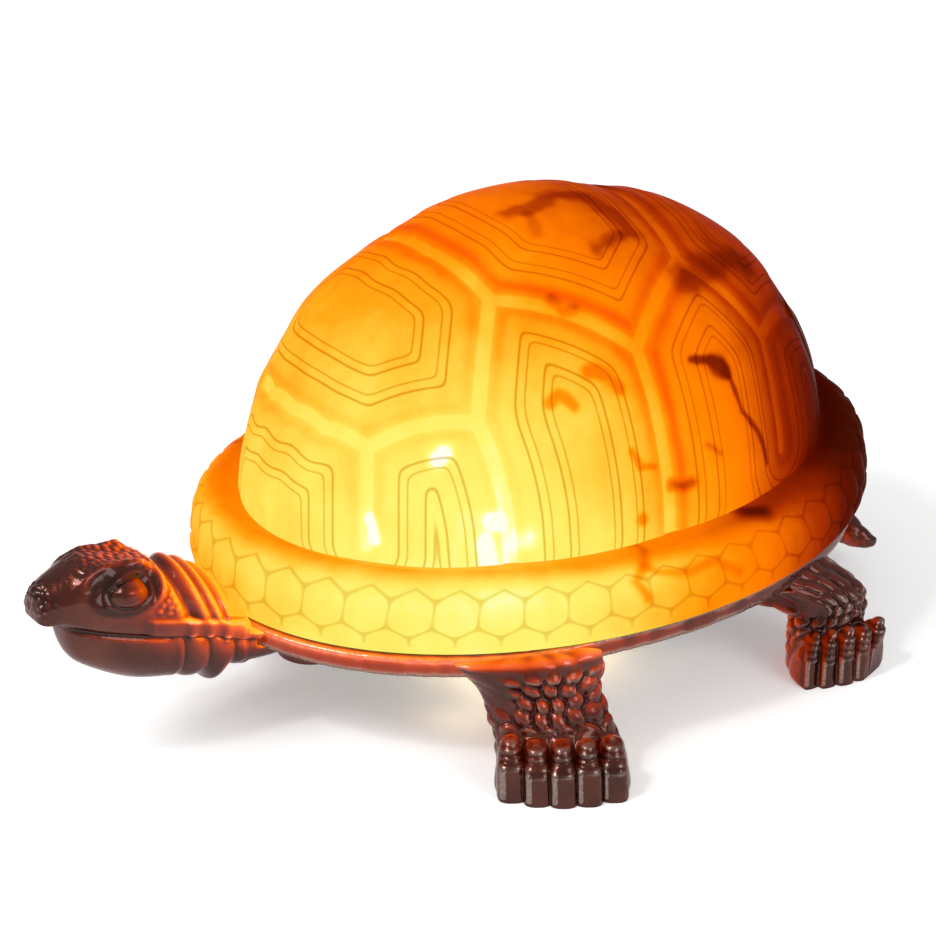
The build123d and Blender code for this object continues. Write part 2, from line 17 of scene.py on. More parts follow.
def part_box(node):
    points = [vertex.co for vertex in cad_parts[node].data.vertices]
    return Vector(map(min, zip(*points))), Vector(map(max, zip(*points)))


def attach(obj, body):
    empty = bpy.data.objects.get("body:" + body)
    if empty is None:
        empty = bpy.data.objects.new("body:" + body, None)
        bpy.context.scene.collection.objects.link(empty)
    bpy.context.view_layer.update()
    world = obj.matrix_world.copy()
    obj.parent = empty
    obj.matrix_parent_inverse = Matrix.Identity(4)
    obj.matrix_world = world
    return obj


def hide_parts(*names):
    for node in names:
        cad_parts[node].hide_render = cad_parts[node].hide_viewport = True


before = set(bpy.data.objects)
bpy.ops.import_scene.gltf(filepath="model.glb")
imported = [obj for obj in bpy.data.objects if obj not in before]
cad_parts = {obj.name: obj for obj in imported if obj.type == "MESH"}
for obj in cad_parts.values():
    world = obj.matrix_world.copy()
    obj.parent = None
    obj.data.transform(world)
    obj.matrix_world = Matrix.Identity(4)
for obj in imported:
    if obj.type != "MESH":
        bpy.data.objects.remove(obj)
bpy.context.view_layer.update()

# %% [markdown]
# ## One working space for every piece
# The pieces are easiest to draw in millimetres round the upright axis of the carapace, with the
# floor at zero. One matrix carries a finished mesh from there into the frame, so that every object
# stays at the origin, unturned and unscaled, with its place in its mesh.

# %% Working space
MM = 0.001
glass_low, glass_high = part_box("glass_shell")
axis_along = (glass_low.y + glass_high.y) / 2
TO_FRAME = Matrix.Translation((0, axis_along, 0)) @ Matrix.Scale(MM, 4)
FROM_FRAME = TO_FRAME.inverted()
shell_half_width = (glass_high.x - glass_low.x) / 2 / MM
shell_half_length = (glass_high.y - glass_low.y) / 2 / MM
glass_foot = glass_low.z / MM
glass_top = glass_high.z / MM
print("carapace half sizes", round(shell_half_width, 2), round(shell_half_length, 2))
print("carapace top", round(glass_top, 2))


# %% [markdown]
# ## Meshes in and out of arrays
# A relief such as a scale or a growth line is a small move of each vertex along its normal. Numpy
# does that for the whole mesh at once, so small helpers read the vertices, write them back and keep
# a number per vertex for the material to read.

# %% Mesh helpers
def link_object(name, data):
    """Object for a mesh, lamp or camera, linked into the scene."""
    made = bpy.data.objects.new(name, data)
    bpy.context.scene.collection.objects.link(made)
    return made


def new_piece(name, bm, body, slot, *nodes):
    """Turn a bmesh in working space into a smooth piece that rides a body and replaces CAD nodes."""
    bmesh.ops.recalc_face_normals(bm, faces=bm.faces)
    mesh = bpy.data.meshes.new(name)
    bm.to_mesh(mesh)
    bm.free()
    mesh.transform(TO_FRAME)
    mesh.shade_smooth()
    piece = link_object(name, mesh)
    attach(piece, body)
    if nodes:
        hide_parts(*nodes)
    return piece


def vertex_places(bm):
    return np.array([vertex.co for vertex in bm.verts], dtype=float)


def vertex_normals(bm):
    bm.normal_update()
    return np.array([vertex.normal for vertex in bm.verts], dtype=float)


def move_vertices(bm, places):
    for vertex, place in zip(bm.verts, places):
        vertex.co = place


def keep_number(bm, name, numbers):
    """Keep one number per vertex, which the material reads as an attribute."""
    layer = bm.verts.layers.float.new(name)
    for vertex, number in zip(bm.verts, numbers):
        vertex[layer] = number


def ease(value, low, high):
    """Smooth step from 0 at low to 1 at high."""
    share = np.clip((value - low) / (high - low), 0.0, 1.0)
    return share * share * (3 - 2 * share)


def ebb(value, low, high):
    """Smooth step from 1 at low to 0 at high."""
    return 1 - ease(value, low, high)


def hill(value, middle, half_width):
    """Bell that is 1 on the middle and dies out past the half width."""
    return np.exp(-((value - middle) / half_width) ** 2)


def bevelled_block(bm, matrix, bevel):
    """Add a cube two units wide, carried by a matrix, with all its edges rounded."""
    block = bmesh.ops.create_cube(bm, size=2, matrix=matrix)
    edges = list({edge for vertex in block["verts"] for edge in vertex.link_edges})
    bmesh.ops.bevel(
        bm, geom=edges, offset=bevel, offset_type="OFFSET", segments=4, profile=0.5, affect="EDGES",
        material=-1)


print("working space ready, one unit is", MM, "m")

# %% [markdown]
# ## Finishes as expressions
# A finish is a small sum of patterns, and a node graph drawn by hand hides that sum. One class wraps
# a socket and lets plain arithmetic add the Math nodes, and one method makes every other node.


# %% Shader expressions
class Wire:
    """A socket of one finish. Arithmetic between wires and numbers adds Math nodes."""

    def __init__(self, finish, socket):
        self.finish = finish
        self.socket = socket

    def sum_node(self, operation, first, second):
        return self.finish.node("ShaderNodeMath", {"operation": operation}, {0: first, 1: second})

    def __add__(self, other):
        return self.sum_node("ADD", self, other)

    def __sub__(self, other):
        return self.sum_node("SUBTRACT", self, other)

    def __rsub__(self, other):
        return self.sum_node("SUBTRACT", other, self)

    def __mul__(self, other):
        return self.sum_node("MULTIPLY", self, other)

    __radd__ = __add__
    __rmul__ = __mul__

    def step(self, low, high, start=0.0, end=1.0):
        """Smooth ramp from start at low to end at high, flat beyond them."""
        return self.finish.node(
            "ShaderNodeMapRange", {"interpolation_type": "SMOOTHSTEP"},
            {"Value": self, "From Min": low, "From Max": high, "To Min": start, "To Max": end})

    def band(self, middle, half_width):
        """One on the middle value, falling smoothly to nothing at the half width on both sides."""
        away = self.finish.node("ShaderNodeMath", {"operation": "ABSOLUTE"}, {0: self - middle})
        return away.step(0.0, half_width, 1.0, 0.0)


class Finish:
    """A node material round one Principled shader."""

    def __init__(self, name):
        self.material = bpy.data.materials.new(name)
        self.material.use_nodes = True
        self.tree = self.material.node_tree
        self.shader = self.tree.nodes["Principled BSDF"]

    def node(self, kind, settings=None, inputs=None, output=0):
        made = self.tree.nodes.new(kind)
        for key, value in (settings or {}).items():
            if key == "stops":
                fill_ramp(made.color_ramp, value)
            else:
                setattr(made, key, value)
        for key, value in (inputs or {}).items():
            self.feed(made.inputs[key], value)
        return Wire(self, made.outputs[output])

    def feed(self, socket, value):
        if isinstance(value, Wire):
            self.tree.links.new(value.socket, socket)
        else:
            socket.default_value = value

    def place(self):
        """Object coordinates in millimetres."""
        metres = self.node("ShaderNodeTexCoord", output="Object")
        return self.node("ShaderNodeVectorMath", {"operation": "SCALE"}, {0: metres, "Scale": 1 / MM})

    def number(self, name):
        return self.node("ShaderNodeAttribute", {"attribute_name": name}, output="Fac")

    def noise(self, place, scale, detail=3.0, roughness=0.55):
        inputs = {"Vector": place, "Scale": scale, "Detail": detail, "Roughness": roughness}
        return self.node("ShaderNodeTexNoise", None, inputs)

    def stretch(self, place, factors):
        return self.node("ShaderNodeVectorMath", {"operation": "MULTIPLY"}, {0: place, 1: factors})

    def ramp(self, wire, stops):
        return self.node("ShaderNodeValToRGB", {"stops": stops}, {"Fac": wire})

    def blend(self, share, first, second, mode="MIX"):
        inputs = {"Factor": share, 6: first, 7: second}
        return self.node("ShaderNodeMix", {"data_type": "RGBA", "blend_type": mode}, inputs, output=2)

    def bump(self, height, strength, distance):
        inputs = {"Height": height, "Strength": strength, "Distance": distance}
        return self.node("ShaderNodeBump", None, inputs)

    def set(self, **inputs):
        for key, value in inputs.items():
            self.feed(self.shader.inputs[key.replace("_", " ")], value)
        return self

    def wear(self, *pieces):
        """Put the finish on pieces, in place of what they wore."""
        for piece in pieces:
            piece.data.materials.clear()
            piece.data.materials.append(self.material)


def fill_ramp(ramp, stops):
    """Colour stops as (place, red, green, blue)."""
    while len(ramp.elements) < len(stops):
        ramp.elements.new(1.0)
    for element, (place, red, green, blue) in zip(ramp.elements, stops):
        element.position = place
        element.color = (red, green, blue, 1.0)


print("finish helpers ready")

# %% [markdown]
# ## Camera
# The photograph looks down on the turtle's front left. A long lens at a good distance gives the same
# mild perspective. Its place was fitted to the rim, the dome and the feet.

# %% Camera
rim_height = 32.5
camera_distance = 670.1
camera_lens = 110.8
camera_sensor = 36.0
camera_clip = 0.01
camera_back = Vector((0.726, -0.5275, 0.4412))
camera_right = Vector((0.588, 0.809, 0.0))
camera_up = Vector((-0.357, 0.2594, 0.8975))
rim_centre = Vector((0, 0, rim_height))
aim_left = 15.9
aim_above = 4.4
eye_point = rim_centre + camera_back * camera_distance
aim_point = rim_centre - camera_right * aim_left + camera_up * aim_above

camera_data = bpy.data.cameras.new("photo_camera")
camera_data.lens = camera_lens
camera_data.sensor_width = camera_sensor
camera_data.clip_start = camera_clip
camera = link_object("photo_camera", camera_data)
camera.location = TO_FRAME @ eye_point
camera.rotation_euler = (aim_point - eye_point).to_track_quat("-Z", "Y").to_euler()
bpy.context.scene.camera = camera
print("camera at", [round(value, 3) for value in camera.location])

# %% [markdown]
# ## The scutes of the carapace
# The dome is pressed glass: thirteen raised plates with sunk channels between them, and on each plate
# pairs of thin growth lines that follow its edge. All of that depends on one number, the distance to
# the nearest channel, so the dome starts as a fine ball, cut just below the crease, and each vertex is
# lifted by a profile of that distance. The same number is kept for the finish.

# %% Scute borders
crease_height = rim_height + 10.6
crease_inset = 12.3
dome_half_width = shell_half_width - crease_inset
dome_half_length = shell_half_length - crease_inset
dome_rise = glass_top - crease_height
glass_wall = 4.0
zigzag_shares = [
    (0.49, -0.87), (0.41, -0.825), (0.67, -0.56), (0.41, -0.39), (0.765, -0.03),
    (0.49, 0.28), (0.685, 0.515), (0.40, 0.80), (0.48, 0.87),
]
costal_foot_shares = {2: (0.85, -0.53), 4: (1.0, -0.02), 6: (0.86, 0.495)}
cross_middle_shares = {1: -0.90, 3: -0.42, 5: 0.31, 7: 0.87}
cross_bow_shares = {1: -0.02}
line_rounding = 1.8
channel_half_width = 1.3
plate_edge = 2.2
far_away = 1e9
least_crowding = 1e-30


def dome_point(across_share, along_share):
    """Point of the smooth dome above a place given in shares of its half width and length."""
    rest = max(0.0, 1 - across_share ** 2 - along_share ** 2)
    return np.array([
        across_share * dome_half_width, along_share * dome_half_length,
        crease_height + dome_rise * math.sqrt(rest)])


def border_runs():
    """Share-space runs between neighbouring scutes, on both halves of the dome."""
    runs = []
    for side in (1, -1):
        corners = [(side * across, along) for across, along in zigzag_shares]
        runs += list(zip(corners[:-1], corners[1:]))
        runs += [(corners[index], (side * foot[0], foot[1])) for index, foot in costal_foot_shares.items()]
        for index, middle in cross_middle_shares.items():
            across, along = corners[index]
            bend = (across / 2, (along + middle) / 2 + cross_bow_shares.get(index, 0.0))
            runs += [(corners[index], bend), (bend, (0.0, middle))]
    return runs


def nearest_on_runs(places, runs, pieces=10):
    """Distance from places to runs on the dome, the nearest points, and the gap rounded in corners."""
    nearest = np.full(len(places), far_away)
    crowding = np.zeros(len(places))
    feet = np.zeros_like(places)
    for start, end in runs:
        shares = np.linspace(0, 1, pieces + 1)
        path = [dome_point(*(np.array(start) * (1 - share) + np.array(end) * share)) for share in shares]
        run_gap = np.full(len(places), far_away)
        for head, tail in zip(path[:-1], path[1:]):
            run = tail - head
            along = np.clip((places - head) @ run / (run @ run), 0, 1)
            foot = head + along[:, None] * run
            gap = np.linalg.norm(places - foot, axis=1)
            run_gap = np.minimum(run_gap, gap)
            closer = gap < nearest
            nearest[closer] = gap[closer]
            feet[closer] = foot[closer]
        crowding += np.exp(-run_gap * line_rounding)
    rounded = -np.log(crowding + least_crowding) / line_rounding
    return nearest, feet, np.where(nearest < plate_edge, nearest, np.maximum(rounded, plate_edge))


def half_ball(fineness, overlap, sizes):
    """Upper part of a ball, cut a little below its middle, stretched and stood on the crease."""
    bm = bmesh.new()
    bmesh.ops.create_icosphere(bm, subdivisions=fineness, radius=1.0)
    bmesh.ops.bisect_plane(
        bm, geom=bm.verts[:] + bm.edges[:] + bm.faces[:], plane_co=(0, 0, -overlap), plane_no=(0, 0, 1),
        clear_inner=True)
    bmesh.ops.scale(bm, vec=sizes, verts=bm.verts)
    bmesh.ops.translate(bm, vec=(0, 0, crease_height), verts=bm.verts)
    return bm


print("scute borders", len(border_runs()))

# %% Dome
dome_fineness = 8
dome_overlap = 0.03
channel_depth = 0.9
plate_crown = 0.6
plate_crown_reach = 11.0
ledge_places = [8.3, 14.0, 20.3]
ledge_rise = 0.2
open_middle = 17.5
ledge_half_width = 0.7
fullness_shares = [-0.9, -0.5, 0.0, 0.6, 1.0]
fullness = [0.2, 0.4, -0.4, -1.1, -0.9]
fullness_low = 4.0
fullness_high = 26.0
crease_blend = 2.5

dome = half_ball(dome_fineness, dome_overlap, (dome_half_width, dome_half_length, dome_rise))
dome_places = vertex_places(dome)
_, border_feet, border_gap = nearest_on_runs(dome_places, border_runs())
zigzag_across, zigzag_along = zip(*zigzag_shares)
middle_reach = np.interp(dome_places[:, 1] / dome_half_length, zigzag_along, zigzag_across)
middle_plate = np.abs(dome_places[:, 0]) / dome_half_width < middle_reach
border_gap = np.where(middle_plate, np.minimum(border_gap, open_middle), border_gap)
scute_lift = -channel_depth * (1 - ease(border_gap, channel_half_width, plate_edge))
scute_lift += plate_crown * ease(border_gap, plate_edge, plate_crown_reach)
for ledge in ledge_places:
    scute_lift += ledge_rise * ease(border_gap, ledge - ledge_half_width, ledge + ledge_half_width)
scute_lift *= ease(dome_places[:, 2], crease_height - crease_blend, crease_height + crease_blend)
dome_fullness = np.interp(dome_places[:, 1] / dome_half_length, fullness_shares, fullness)
scute_lift += dome_fullness * ease(
    dome_places[:, 2], crease_height + fullness_low, crease_height + fullness_high)
print("dome triangles", len(dome.faces), "lift", round(scute_lift.min(), 2), round(scute_lift.max(), 2))

# %% [markdown]
# ## Marks in the melt and painted hot spots
# Real art glass has brown flecks and cloudy patches where colour was folded into the melt. A few
# strokes, drawn on the dome in the same shares as the borders, give a number that is high on a brown
# mark and below zero on a painted bright spot of the bulb's light, fixed in the glass. A glow point
# near the bulb gives the distance that the light has to travel.

# %% Marks and glow distance
# Each mark: its strength, below zero for a painted bright spot of light, its half width in
# millimetres, and its points in shares of the dome
marks_and_hot_spots = [
    (0.85, 0.85, [(0.814, 0.134), (0.814, 0.184), (0.818, 0.25), (0.836, 0.262)]),
    (0.95, 1.9, [(0.822, 0.222), (0.832, 0.246)]),
    (0.6, 0.5, [(0.842, 0.272), (0.893, 0.296), (0.903, 0.361), (0.915, 0.386)]),
    (0.5, 1.0, [(0.531, -0.228), (0.582, -0.211), (0.591, -0.172)]),
    (0.5, 1.2, [(0.767, -0.214), (0.795, -0.166), (0.829, -0.141)]),
    (0.45, 1.0, [(0.769, -0.359), (0.766, -0.329), (0.807, -0.293)]),
    (0.75, 1.1, [(0.984, -0.003), (0.986, 0.03), (0.984, 0.06)]),
    (0.4, 0.7, [(0.931, -0.145), (0.954, -0.12), (0.963, -0.069)]),
    (0.45, 0.6, [(0.951, 0.128), (0.956, 0.177)]),
    (0.45, 1.0, [(0.986, -0.134), (0.988, -0.128)]),
    (0.42, 2.0, [
        (0.088, -0.162), (0.106, -0.074), (0.042, 0.026), (0.092, 0.113), (0.286, 0.141), (0.37, 0.145)]),
    (0.42, 1.5, [(0.382, 0.104), (0.425, -0.017)]),
    (0.3, 1.2, [(0.148, -0.111), (0.266, -0.151)]),
    (0.42, 3.0, [(0.573, 0.249), (0.531, 0.343), (0.446, 0.459), (0.433, 0.574)]),
    (-0.5, 1.7, [(0.628, -0.68), (0.638, -0.66)]),
    (-0.4, 1.5, [(0.800, -0.575), (0.811, -0.564)]),
    (-0.3, 2.2, [(0.800, -0.595), (0.812, -0.585)]),
    (-0.5, 1.0, [(0.495, -0.855), (0.506, -0.852), (0.52, -0.85)]),
    (-0.2, 2.0, [(0.868, -0.49), (0.872, -0.48)]),
    (0.6, 1.4, [(-0.62, -0.05), (-0.68, 0.02)]),
    (0.8, 1.5, [(-0.83, 0.22), (-0.80, 0.31)]),
    (0.5, 1.1, [(-0.78, -0.33), (-0.82, -0.28)]),
    (0.4, 1.8, [(-0.35, 0.1), (-0.3, 0.35), (-0.12, 0.3)]),
    (0.6, 2.4, [(-0.57, 0.3), (-0.46, 0.46)]),
    (-0.5, 2.2, [(-0.80, -0.59), (-0.811, -0.561)]),
    (-0.5, 1.5, [(-0.505, -0.86), (-0.51, -0.835)]),
]
mark_pieces = 4
mark_core = 0.3
mark_wobble = 0.1
wobble_scale = 0.9
wobble_ratio = 1.7
stains_and_light_range = (-1.2, 1.0)
glow_place = np.array([10.0, -30.0, 40.0])
rear_shade = 14.0
rear_lift = 6.0
rear_run = (14.0, 56.0)
low_run = (52.0, 92.0)
edge_shade_near_share = 0.6
edge_shade_facing_gain = 2.0
edge_shade_run = (44.0, 58.0)
plain_gap = 9.0


def glow_distance(places):
    """Distance to the middle of the glow, beside the bulb; at the rear more low down and less high up."""
    rear = ease(places[:, 1], *rear_run)
    low = ebb(places[:, 2], *low_run)
    return np.linalg.norm(places - glow_place, axis=1) + rear * (rear_shade * low - rear_lift * (1 - low))


def keep_glass(bm, glow_gap, border_gap=plain_gap, cell_gap=plain_gap, stain=0.0, edge_far=0.0):
    """Keep the five numbers per vertex that the glass finish reads."""
    numbers = {
        "border_gap": border_gap, "cell_gap": cell_gap, "stain": stain, "edge_far": edge_far,
        "glow_gap": glow_gap}
    for name, values in numbers.items():
        keep_number(bm, name, np.broadcast_to(values, len(bm.verts)))


wobble = np.sin(dome_places * wobble_scale).sum(axis=1)
wobble += np.sin(dome_places[:, [1, 2, 0]] * wobble_scale * wobble_ratio).sum(axis=1)
stain = np.zeros(len(dome_places))
for strength, half_width, points in marks_and_hot_spots:
    away, _, _ = nearest_on_runs(dome_places, list(zip(points[:-1], points[1:])), mark_pieces)
    if strength > 0:
        away += wobble * mark_wobble * half_width
    stain += strength * hill(np.clip(away - mark_core * half_width, 0, None), 0.0, half_width)
# Painted shade on plate edges: deeper where the glow is far, most where the plate runs away from it
inward = dome_places - border_feet
inward /= np.linalg.norm(inward, axis=1, keepdims=True) + 1e-6
outward = dome_places - glow_place
outward /= np.linalg.norm(outward, axis=1, keepdims=True)
facing_away = np.clip((inward * outward).sum(axis=1) * edge_shade_facing_gain, 0, 1)
edge_far = edge_shade_near_share + (1 - edge_shade_near_share) * facing_away
edge_far *= ease(glow_distance(dome_places), *edge_shade_run)
move_vertices(dome, dome_places + vertex_normals(dome) * scute_lift[:, None])
stain = np.clip(stain, *stains_and_light_range)
keep_glass(dome, glow_distance(dome_places), border_gap=border_gap, stain=stain, edge_far=edge_far)
carapace_dome = new_piece("carapace_dome", dome, "shell", "shell_glass", "glass_shell")
print("marks cover", round(float((stain > 0.5).mean()), 4), "of the dome")

# %% [markdown]
# ## The honeycomb rim
# Below the crease the glass swells into a thick rim, pressed with one full row of rounded cells and a
# cut row under it. The section is spun round the axis, squeezed to the oval, and then each cell is
# domed by its distance to the nearest cell border, just as the scutes were.

# %% Rim section
rim_drop = rim_height - glass_foot
rim_foot_inset = 2.6
rim_foot_land = 6.0
crease_rise = crease_height - rim_height
rim_swings = ((90, 63, 8), (60, -20, 58), (-24, -90, 10))
spin_steps = 960


def rim_point(swing):
    """Inset and height of the rim's outer line; 90 degrees is the crease and -90 the foot."""
    inset = (crease_inset if swing > 0 else rim_foot_inset) * (1 - math.cos(math.radians(swing)))
    rise = (crease_rise if swing > 0 else rim_drop) * math.sin(math.radians(swing))
    return inset, rim_height + rise


def oval_spin(section, steps):
    """Spin a closed section of (inset, height) points round the axis and squeeze it to the oval."""
    bm = bmesh.new()
    corners = [bm.verts.new((shell_half_length - inset, 0, height)) for inset, height in section]
    edges = [bm.edges.new(pair) for pair in zip(corners, corners[1:] + corners[:1])]
    bmesh.ops.spin(
        bm, geom=corners + edges, cent=(0, 0, 0), axis=(0, 0, 1), dvec=(0, 0, 0),
        angle=2 * math.pi, steps=steps, use_merge=True)
    bmesh.ops.remove_doubles(bm, verts=bm.verts, dist=1e-5)
    places = vertex_places(bm)
    radius = np.hypot(places[:, 0], places[:, 1])
    squeeze = (radius - shell_half_length + shell_half_width) / radius
    places[:, 0] *= squeeze
    move_vertices(bm, places)
    return bm


swings = np.concatenate([np.linspace(*stretch) for stretch in rim_swings])
rim_line = [rim_point(swing) for swing in swings]
rim_runs = [math.dist(first, second) for first, second in zip(rim_line[:-1], rim_line[1:])]
rim_lengths = np.concatenate([[0], np.cumsum(rim_runs)])
throat = rim_foot_inset + rim_foot_land
crease_land = 1.5
rim_section = rim_line + [
    (throat, glass_foot), (throat, crease_height - glass_wall), (crease_inset + crease_land, crease_height)]
rim = oval_spin(rim_section, spin_steps)
print("rim faces", len(rim.faces), "line length", round(rim_lengths[-1], 2))

# %% Rim cells
cell_count = 48
upper_swing = 46.0
lower_swing = 3.0
cell_apex_share = 0.125
corner_rounding = 2.2
cell_groove = 0.35
cell_groove_half_width = 0.8
cell_crown = 0.3
cell_crown_reach = 3.6
shoulder_rise = 3.2
shoulder_start_run = (0.5, 5.0)
shoulder_end_run = (8.0, 15.0)
cell_start_run = (1.0, 3.0)
cell_end_run = rim_lengths[-1] - np.array([5.0, 2.0])
# Painted shade under the crease and painted light on the lower rim
crease_shade = 0.52
crease_shade_run = (3.0, 9.0)
crease_shade_far = (65.0, 100.0)
belly_light = 0.46
belly_light_loss = 0.24
belly_light_far = (42.0, 62.0)
belly_light_run = (3.5, 12.0)
angle_count = 2001
# Each vein: its strength, its half width in millimetres, and its points on the rim
rim_veins = [
    (0.45, 1.3, [
        (52.0, -11.4, 43.1), (54.6, -10.9, 42.8), (58.2, -13.5, 41.3), (60.3, -17.1, 39.3),
        (62.7, -15.4, 36.1)]),
    (0.32, 1.1, [
        (58.2, -13.5, 41.3), (60.5, -10.6, 39.9), (62.1, -4.3, 38.7), (61.6, 3.2, 39.3), (63.7, 8.8, 35.4)]),
    (0.75, 2.3, [(52.7, 18.4, 42.9), (54.6, 22.4, 42.3)]),
    (0.4, 1.3, [(-53.0, 6.0, 43.0), (-58.0, 9.0, 41.4), (-62.0, 5.0, 38.0)]),
    (0.35, 1.2, [(-40.0, -56.0, 42.0), (-45.0, -56.0, 39.5), (-43.0, -61.0, 37.0)]),
    (0.6, 2.0, [(10.0, 73.0, 43.0), (15.0, 74.5, 42.0)]),
]

angle_steps = np.linspace(-math.pi, math.pi, angle_count)
oval_speed = np.hypot(shell_half_width * np.sin(angle_steps), shell_half_length * np.cos(angle_steps))
oval_runs = np.concatenate([[0], np.cumsum((oval_speed[1:] + oval_speed[:-1]) / 2 * np.diff(angle_steps))])
cell_width = oval_runs[-1] / cell_count
first_row = np.interp(-upper_swing, -swings, rim_lengths)
second_row = np.interp(-lower_swing, -swings, rim_lengths)


def rim_coordinates(places):
    """Distance round the oval and distance down from the crease, for places on the rim's outside."""
    turn = np.arctan2(places[:, 1] / shell_half_length, places[:, 0] / shell_half_width)
    heights = np.array([height for _, height in rim_line])
    return np.interp(turn, angle_steps, oval_runs), np.interp(-places[:, 2], -heights, rim_lengths)


def gap_to_run(flat_places, start, end):
    """Distance from each place to one straight run."""
    run = np.subtract(end, start)
    reach = flat_places - np.array(start)
    along = np.clip(reach @ run / (run @ run), 0, 1)
    return np.linalg.norm(reach - along[:, None] * run, axis=1)


def cell_border_gap(around, down):
    """Distance to the nearest honeycomb border: two zigzags and the uprights between and below them."""
    half = cell_width / 2
    apex = cell_width * cell_apex_share
    folded = np.abs((around + half) % cell_width - half)
    corners = [
        (0, first_row - apex), (half, first_row + apex), (half, second_row - apex), (0, second_row + apex),
        (0, rim_lengths[-1] + cell_width)]
    flat_places = np.stack([folded, down], axis=1)
    gaps = np.array([gap_to_run(flat_places, *run) for run in zip(corners[:-1], corners[1:])])
    return -np.log(np.exp(-corner_rounding * gaps).sum(axis=0)) / corner_rounding


def gap_to_path(places, path):
    """Distance in space from each place to a path of straight runs."""
    gaps = [gap_to_run(places, start, end) for start, end in zip(path[:-1], path[1:])]
    return np.min(gaps, axis=0)


rim_places = vertex_places(rim)
rim_around, rim_down = rim_coordinates(rim_places)
rim_gap = cell_border_gap(rim_around, rim_down)
outside = vertex_normals(rim)
outer_share = (outside[:, 0] * rim_places[:, 0] + outside[:, 1] * rim_places[:, 1] > 0).astype(float)
outer_share *= ease(rim_down, *cell_start_run) * ebb(rim_down, *cell_end_run)
cell_lift = -cell_groove * (1 - ease(rim_gap, 0.0, cell_groove_half_width))
cell_lift -= cell_crown * (1 - ease(rim_gap, cell_groove_half_width, cell_crown_reach))
end_share = np.abs(rim_places[:, 1]) / np.hypot(rim_places[:, 0], rim_places[:, 1])
shoulder = shoulder_rise * end_share ** 3
shoulder *= ease(rim_down, *shoulder_start_run) * ebb(rim_down, *shoulder_end_run)
move_vertices(rim, rim_places + outside * ((cell_lift + shoulder) * outer_share)[:, None])
rim_glow = glow_distance(rim_places)
# Painted shade just under the crease, strongest near the glow, and painted light on the lower rim, weaker far from
# it; the veins are dark streaks in the glass
rim_shade_light_and_veins = crease_shade * ebb(rim_down, *crease_shade_run) * ebb(rim_glow, *crease_shade_far)
rim_shade_light_and_veins -= (belly_light - belly_light_loss * ease(rim_glow, *belly_light_far)) * ease(rim_down, *belly_light_run)
for strength, half_width, path in rim_veins:
    rim_shade_light_and_veins += strength * hill(gap_to_path(rim_places, np.array(path)), 0.0, half_width)
keep_glass(rim, rim_glow, cell_gap=np.where(outer_share > 0.5, rim_gap, plain_gap), stain=rim_shade_light_and_veins)
carapace_rim = new_piece("carapace_rim", rim, "shell", "shell_glass", "glass_shell")
print("cell width", round(cell_width, 2), "rows", round(first_row, 2), round(second_row, 2))

# %% [markdown]
# ## The inside of the glass
# When the carapace is lifted its smooth inside shows. A second, plainer half ball makes that wall; it
# stops inside the rim, so the edge is never seen.

# %% Lining
lining_fineness = 6
lining_overlap = 0.05
inner_sizes = (dome_half_width - glass_wall, dome_half_length - glass_wall, dome_rise - glass_wall)
lining = half_ball(lining_fineness, lining_overlap, inner_sizes)
keep_glass(lining, glow_distance(vertex_places(lining)))
carapace_lining = new_piece("carapace_lining", lining, "shell", "shell_glass", "glass_shell")
carapace_lining.data.flip_normals()
print("lining triangles", len(carapace_lining.data.polygons))

# %% [markdown]
# ## Lit amber glass
# The glass glows because a bulb stands low inside it, near the front: the nearest glass is almost
# yellow-white, the crown orange and the far end a deep red brown. The distance that was kept per
# vertex gives that run of colour, with a shade added low at the rear. Channels are thinner glass and
# so count as nearer, plate edges, growth lines, cell borders and brown marks as farther, painted bright
# spots as nearer, and clouds break it all up. Plate edges far from the glow take a painted deeper red
# shade, the rim a painted shade under the crease and painted light lower down.

# %% Amber glass
glow_near = 30.0
glow_far = 110.0
cloud_depth = 14.0
streak_depth = 8.0
channel_light = 4.0
plate_shade = 2.0
line_depth = 4.0
stains_and_light_depth = 26.0
# Each growth line: its distance from the channel, its half width and its strength
growth_lines = [(7.4, 0.44, 1.0), (9.3, 0.36, 0.8), (13.1, 0.44, 1.0), (14.9, 0.36, 0.8), (20.2, 0.40, 1.0)]
glass = Finish("amber_glass")
glass_place = glass.place()
gap = glass.number("border_gap")
clouds = glass.noise(glass_place, 0.045, 4.0)
streaks = glass.noise(glass.stretch(glass_place, (1.0, 1.0, 0.35)), 0.16, 5.0, 0.6)
depth = glass.number("glow_gap") + (clouds - 0.5) * cloud_depth + (streaks - 0.5) * streak_depth
depth = depth - gap.step(1.2, 1.9, channel_light, 0.0) + gap.band(3.0, 1.8) * plate_shade
lines = glass.number("cell_gap").step(0.0, 0.5, 0.6, 0.0)
for middle, half_width, strength in growth_lines:
    lines = lines + gap.band(middle, half_width) * strength
depth = depth + lines * line_depth + glass.number("stain") * stains_and_light_depth
depth = (depth - glow_near) * (1 / (glow_far - glow_near))
edge_shade_amber = glass.ramp(depth, [
    (0.25, 1.0, 0.26, 0.0), (0.37, 1.0, 0.105, 0.0), (0.50, 0.80, 0.052, 0.0), (0.65, 0.30, 0.013, 0.0),
    (0.85, 0.06, 0.002, 0.0)])
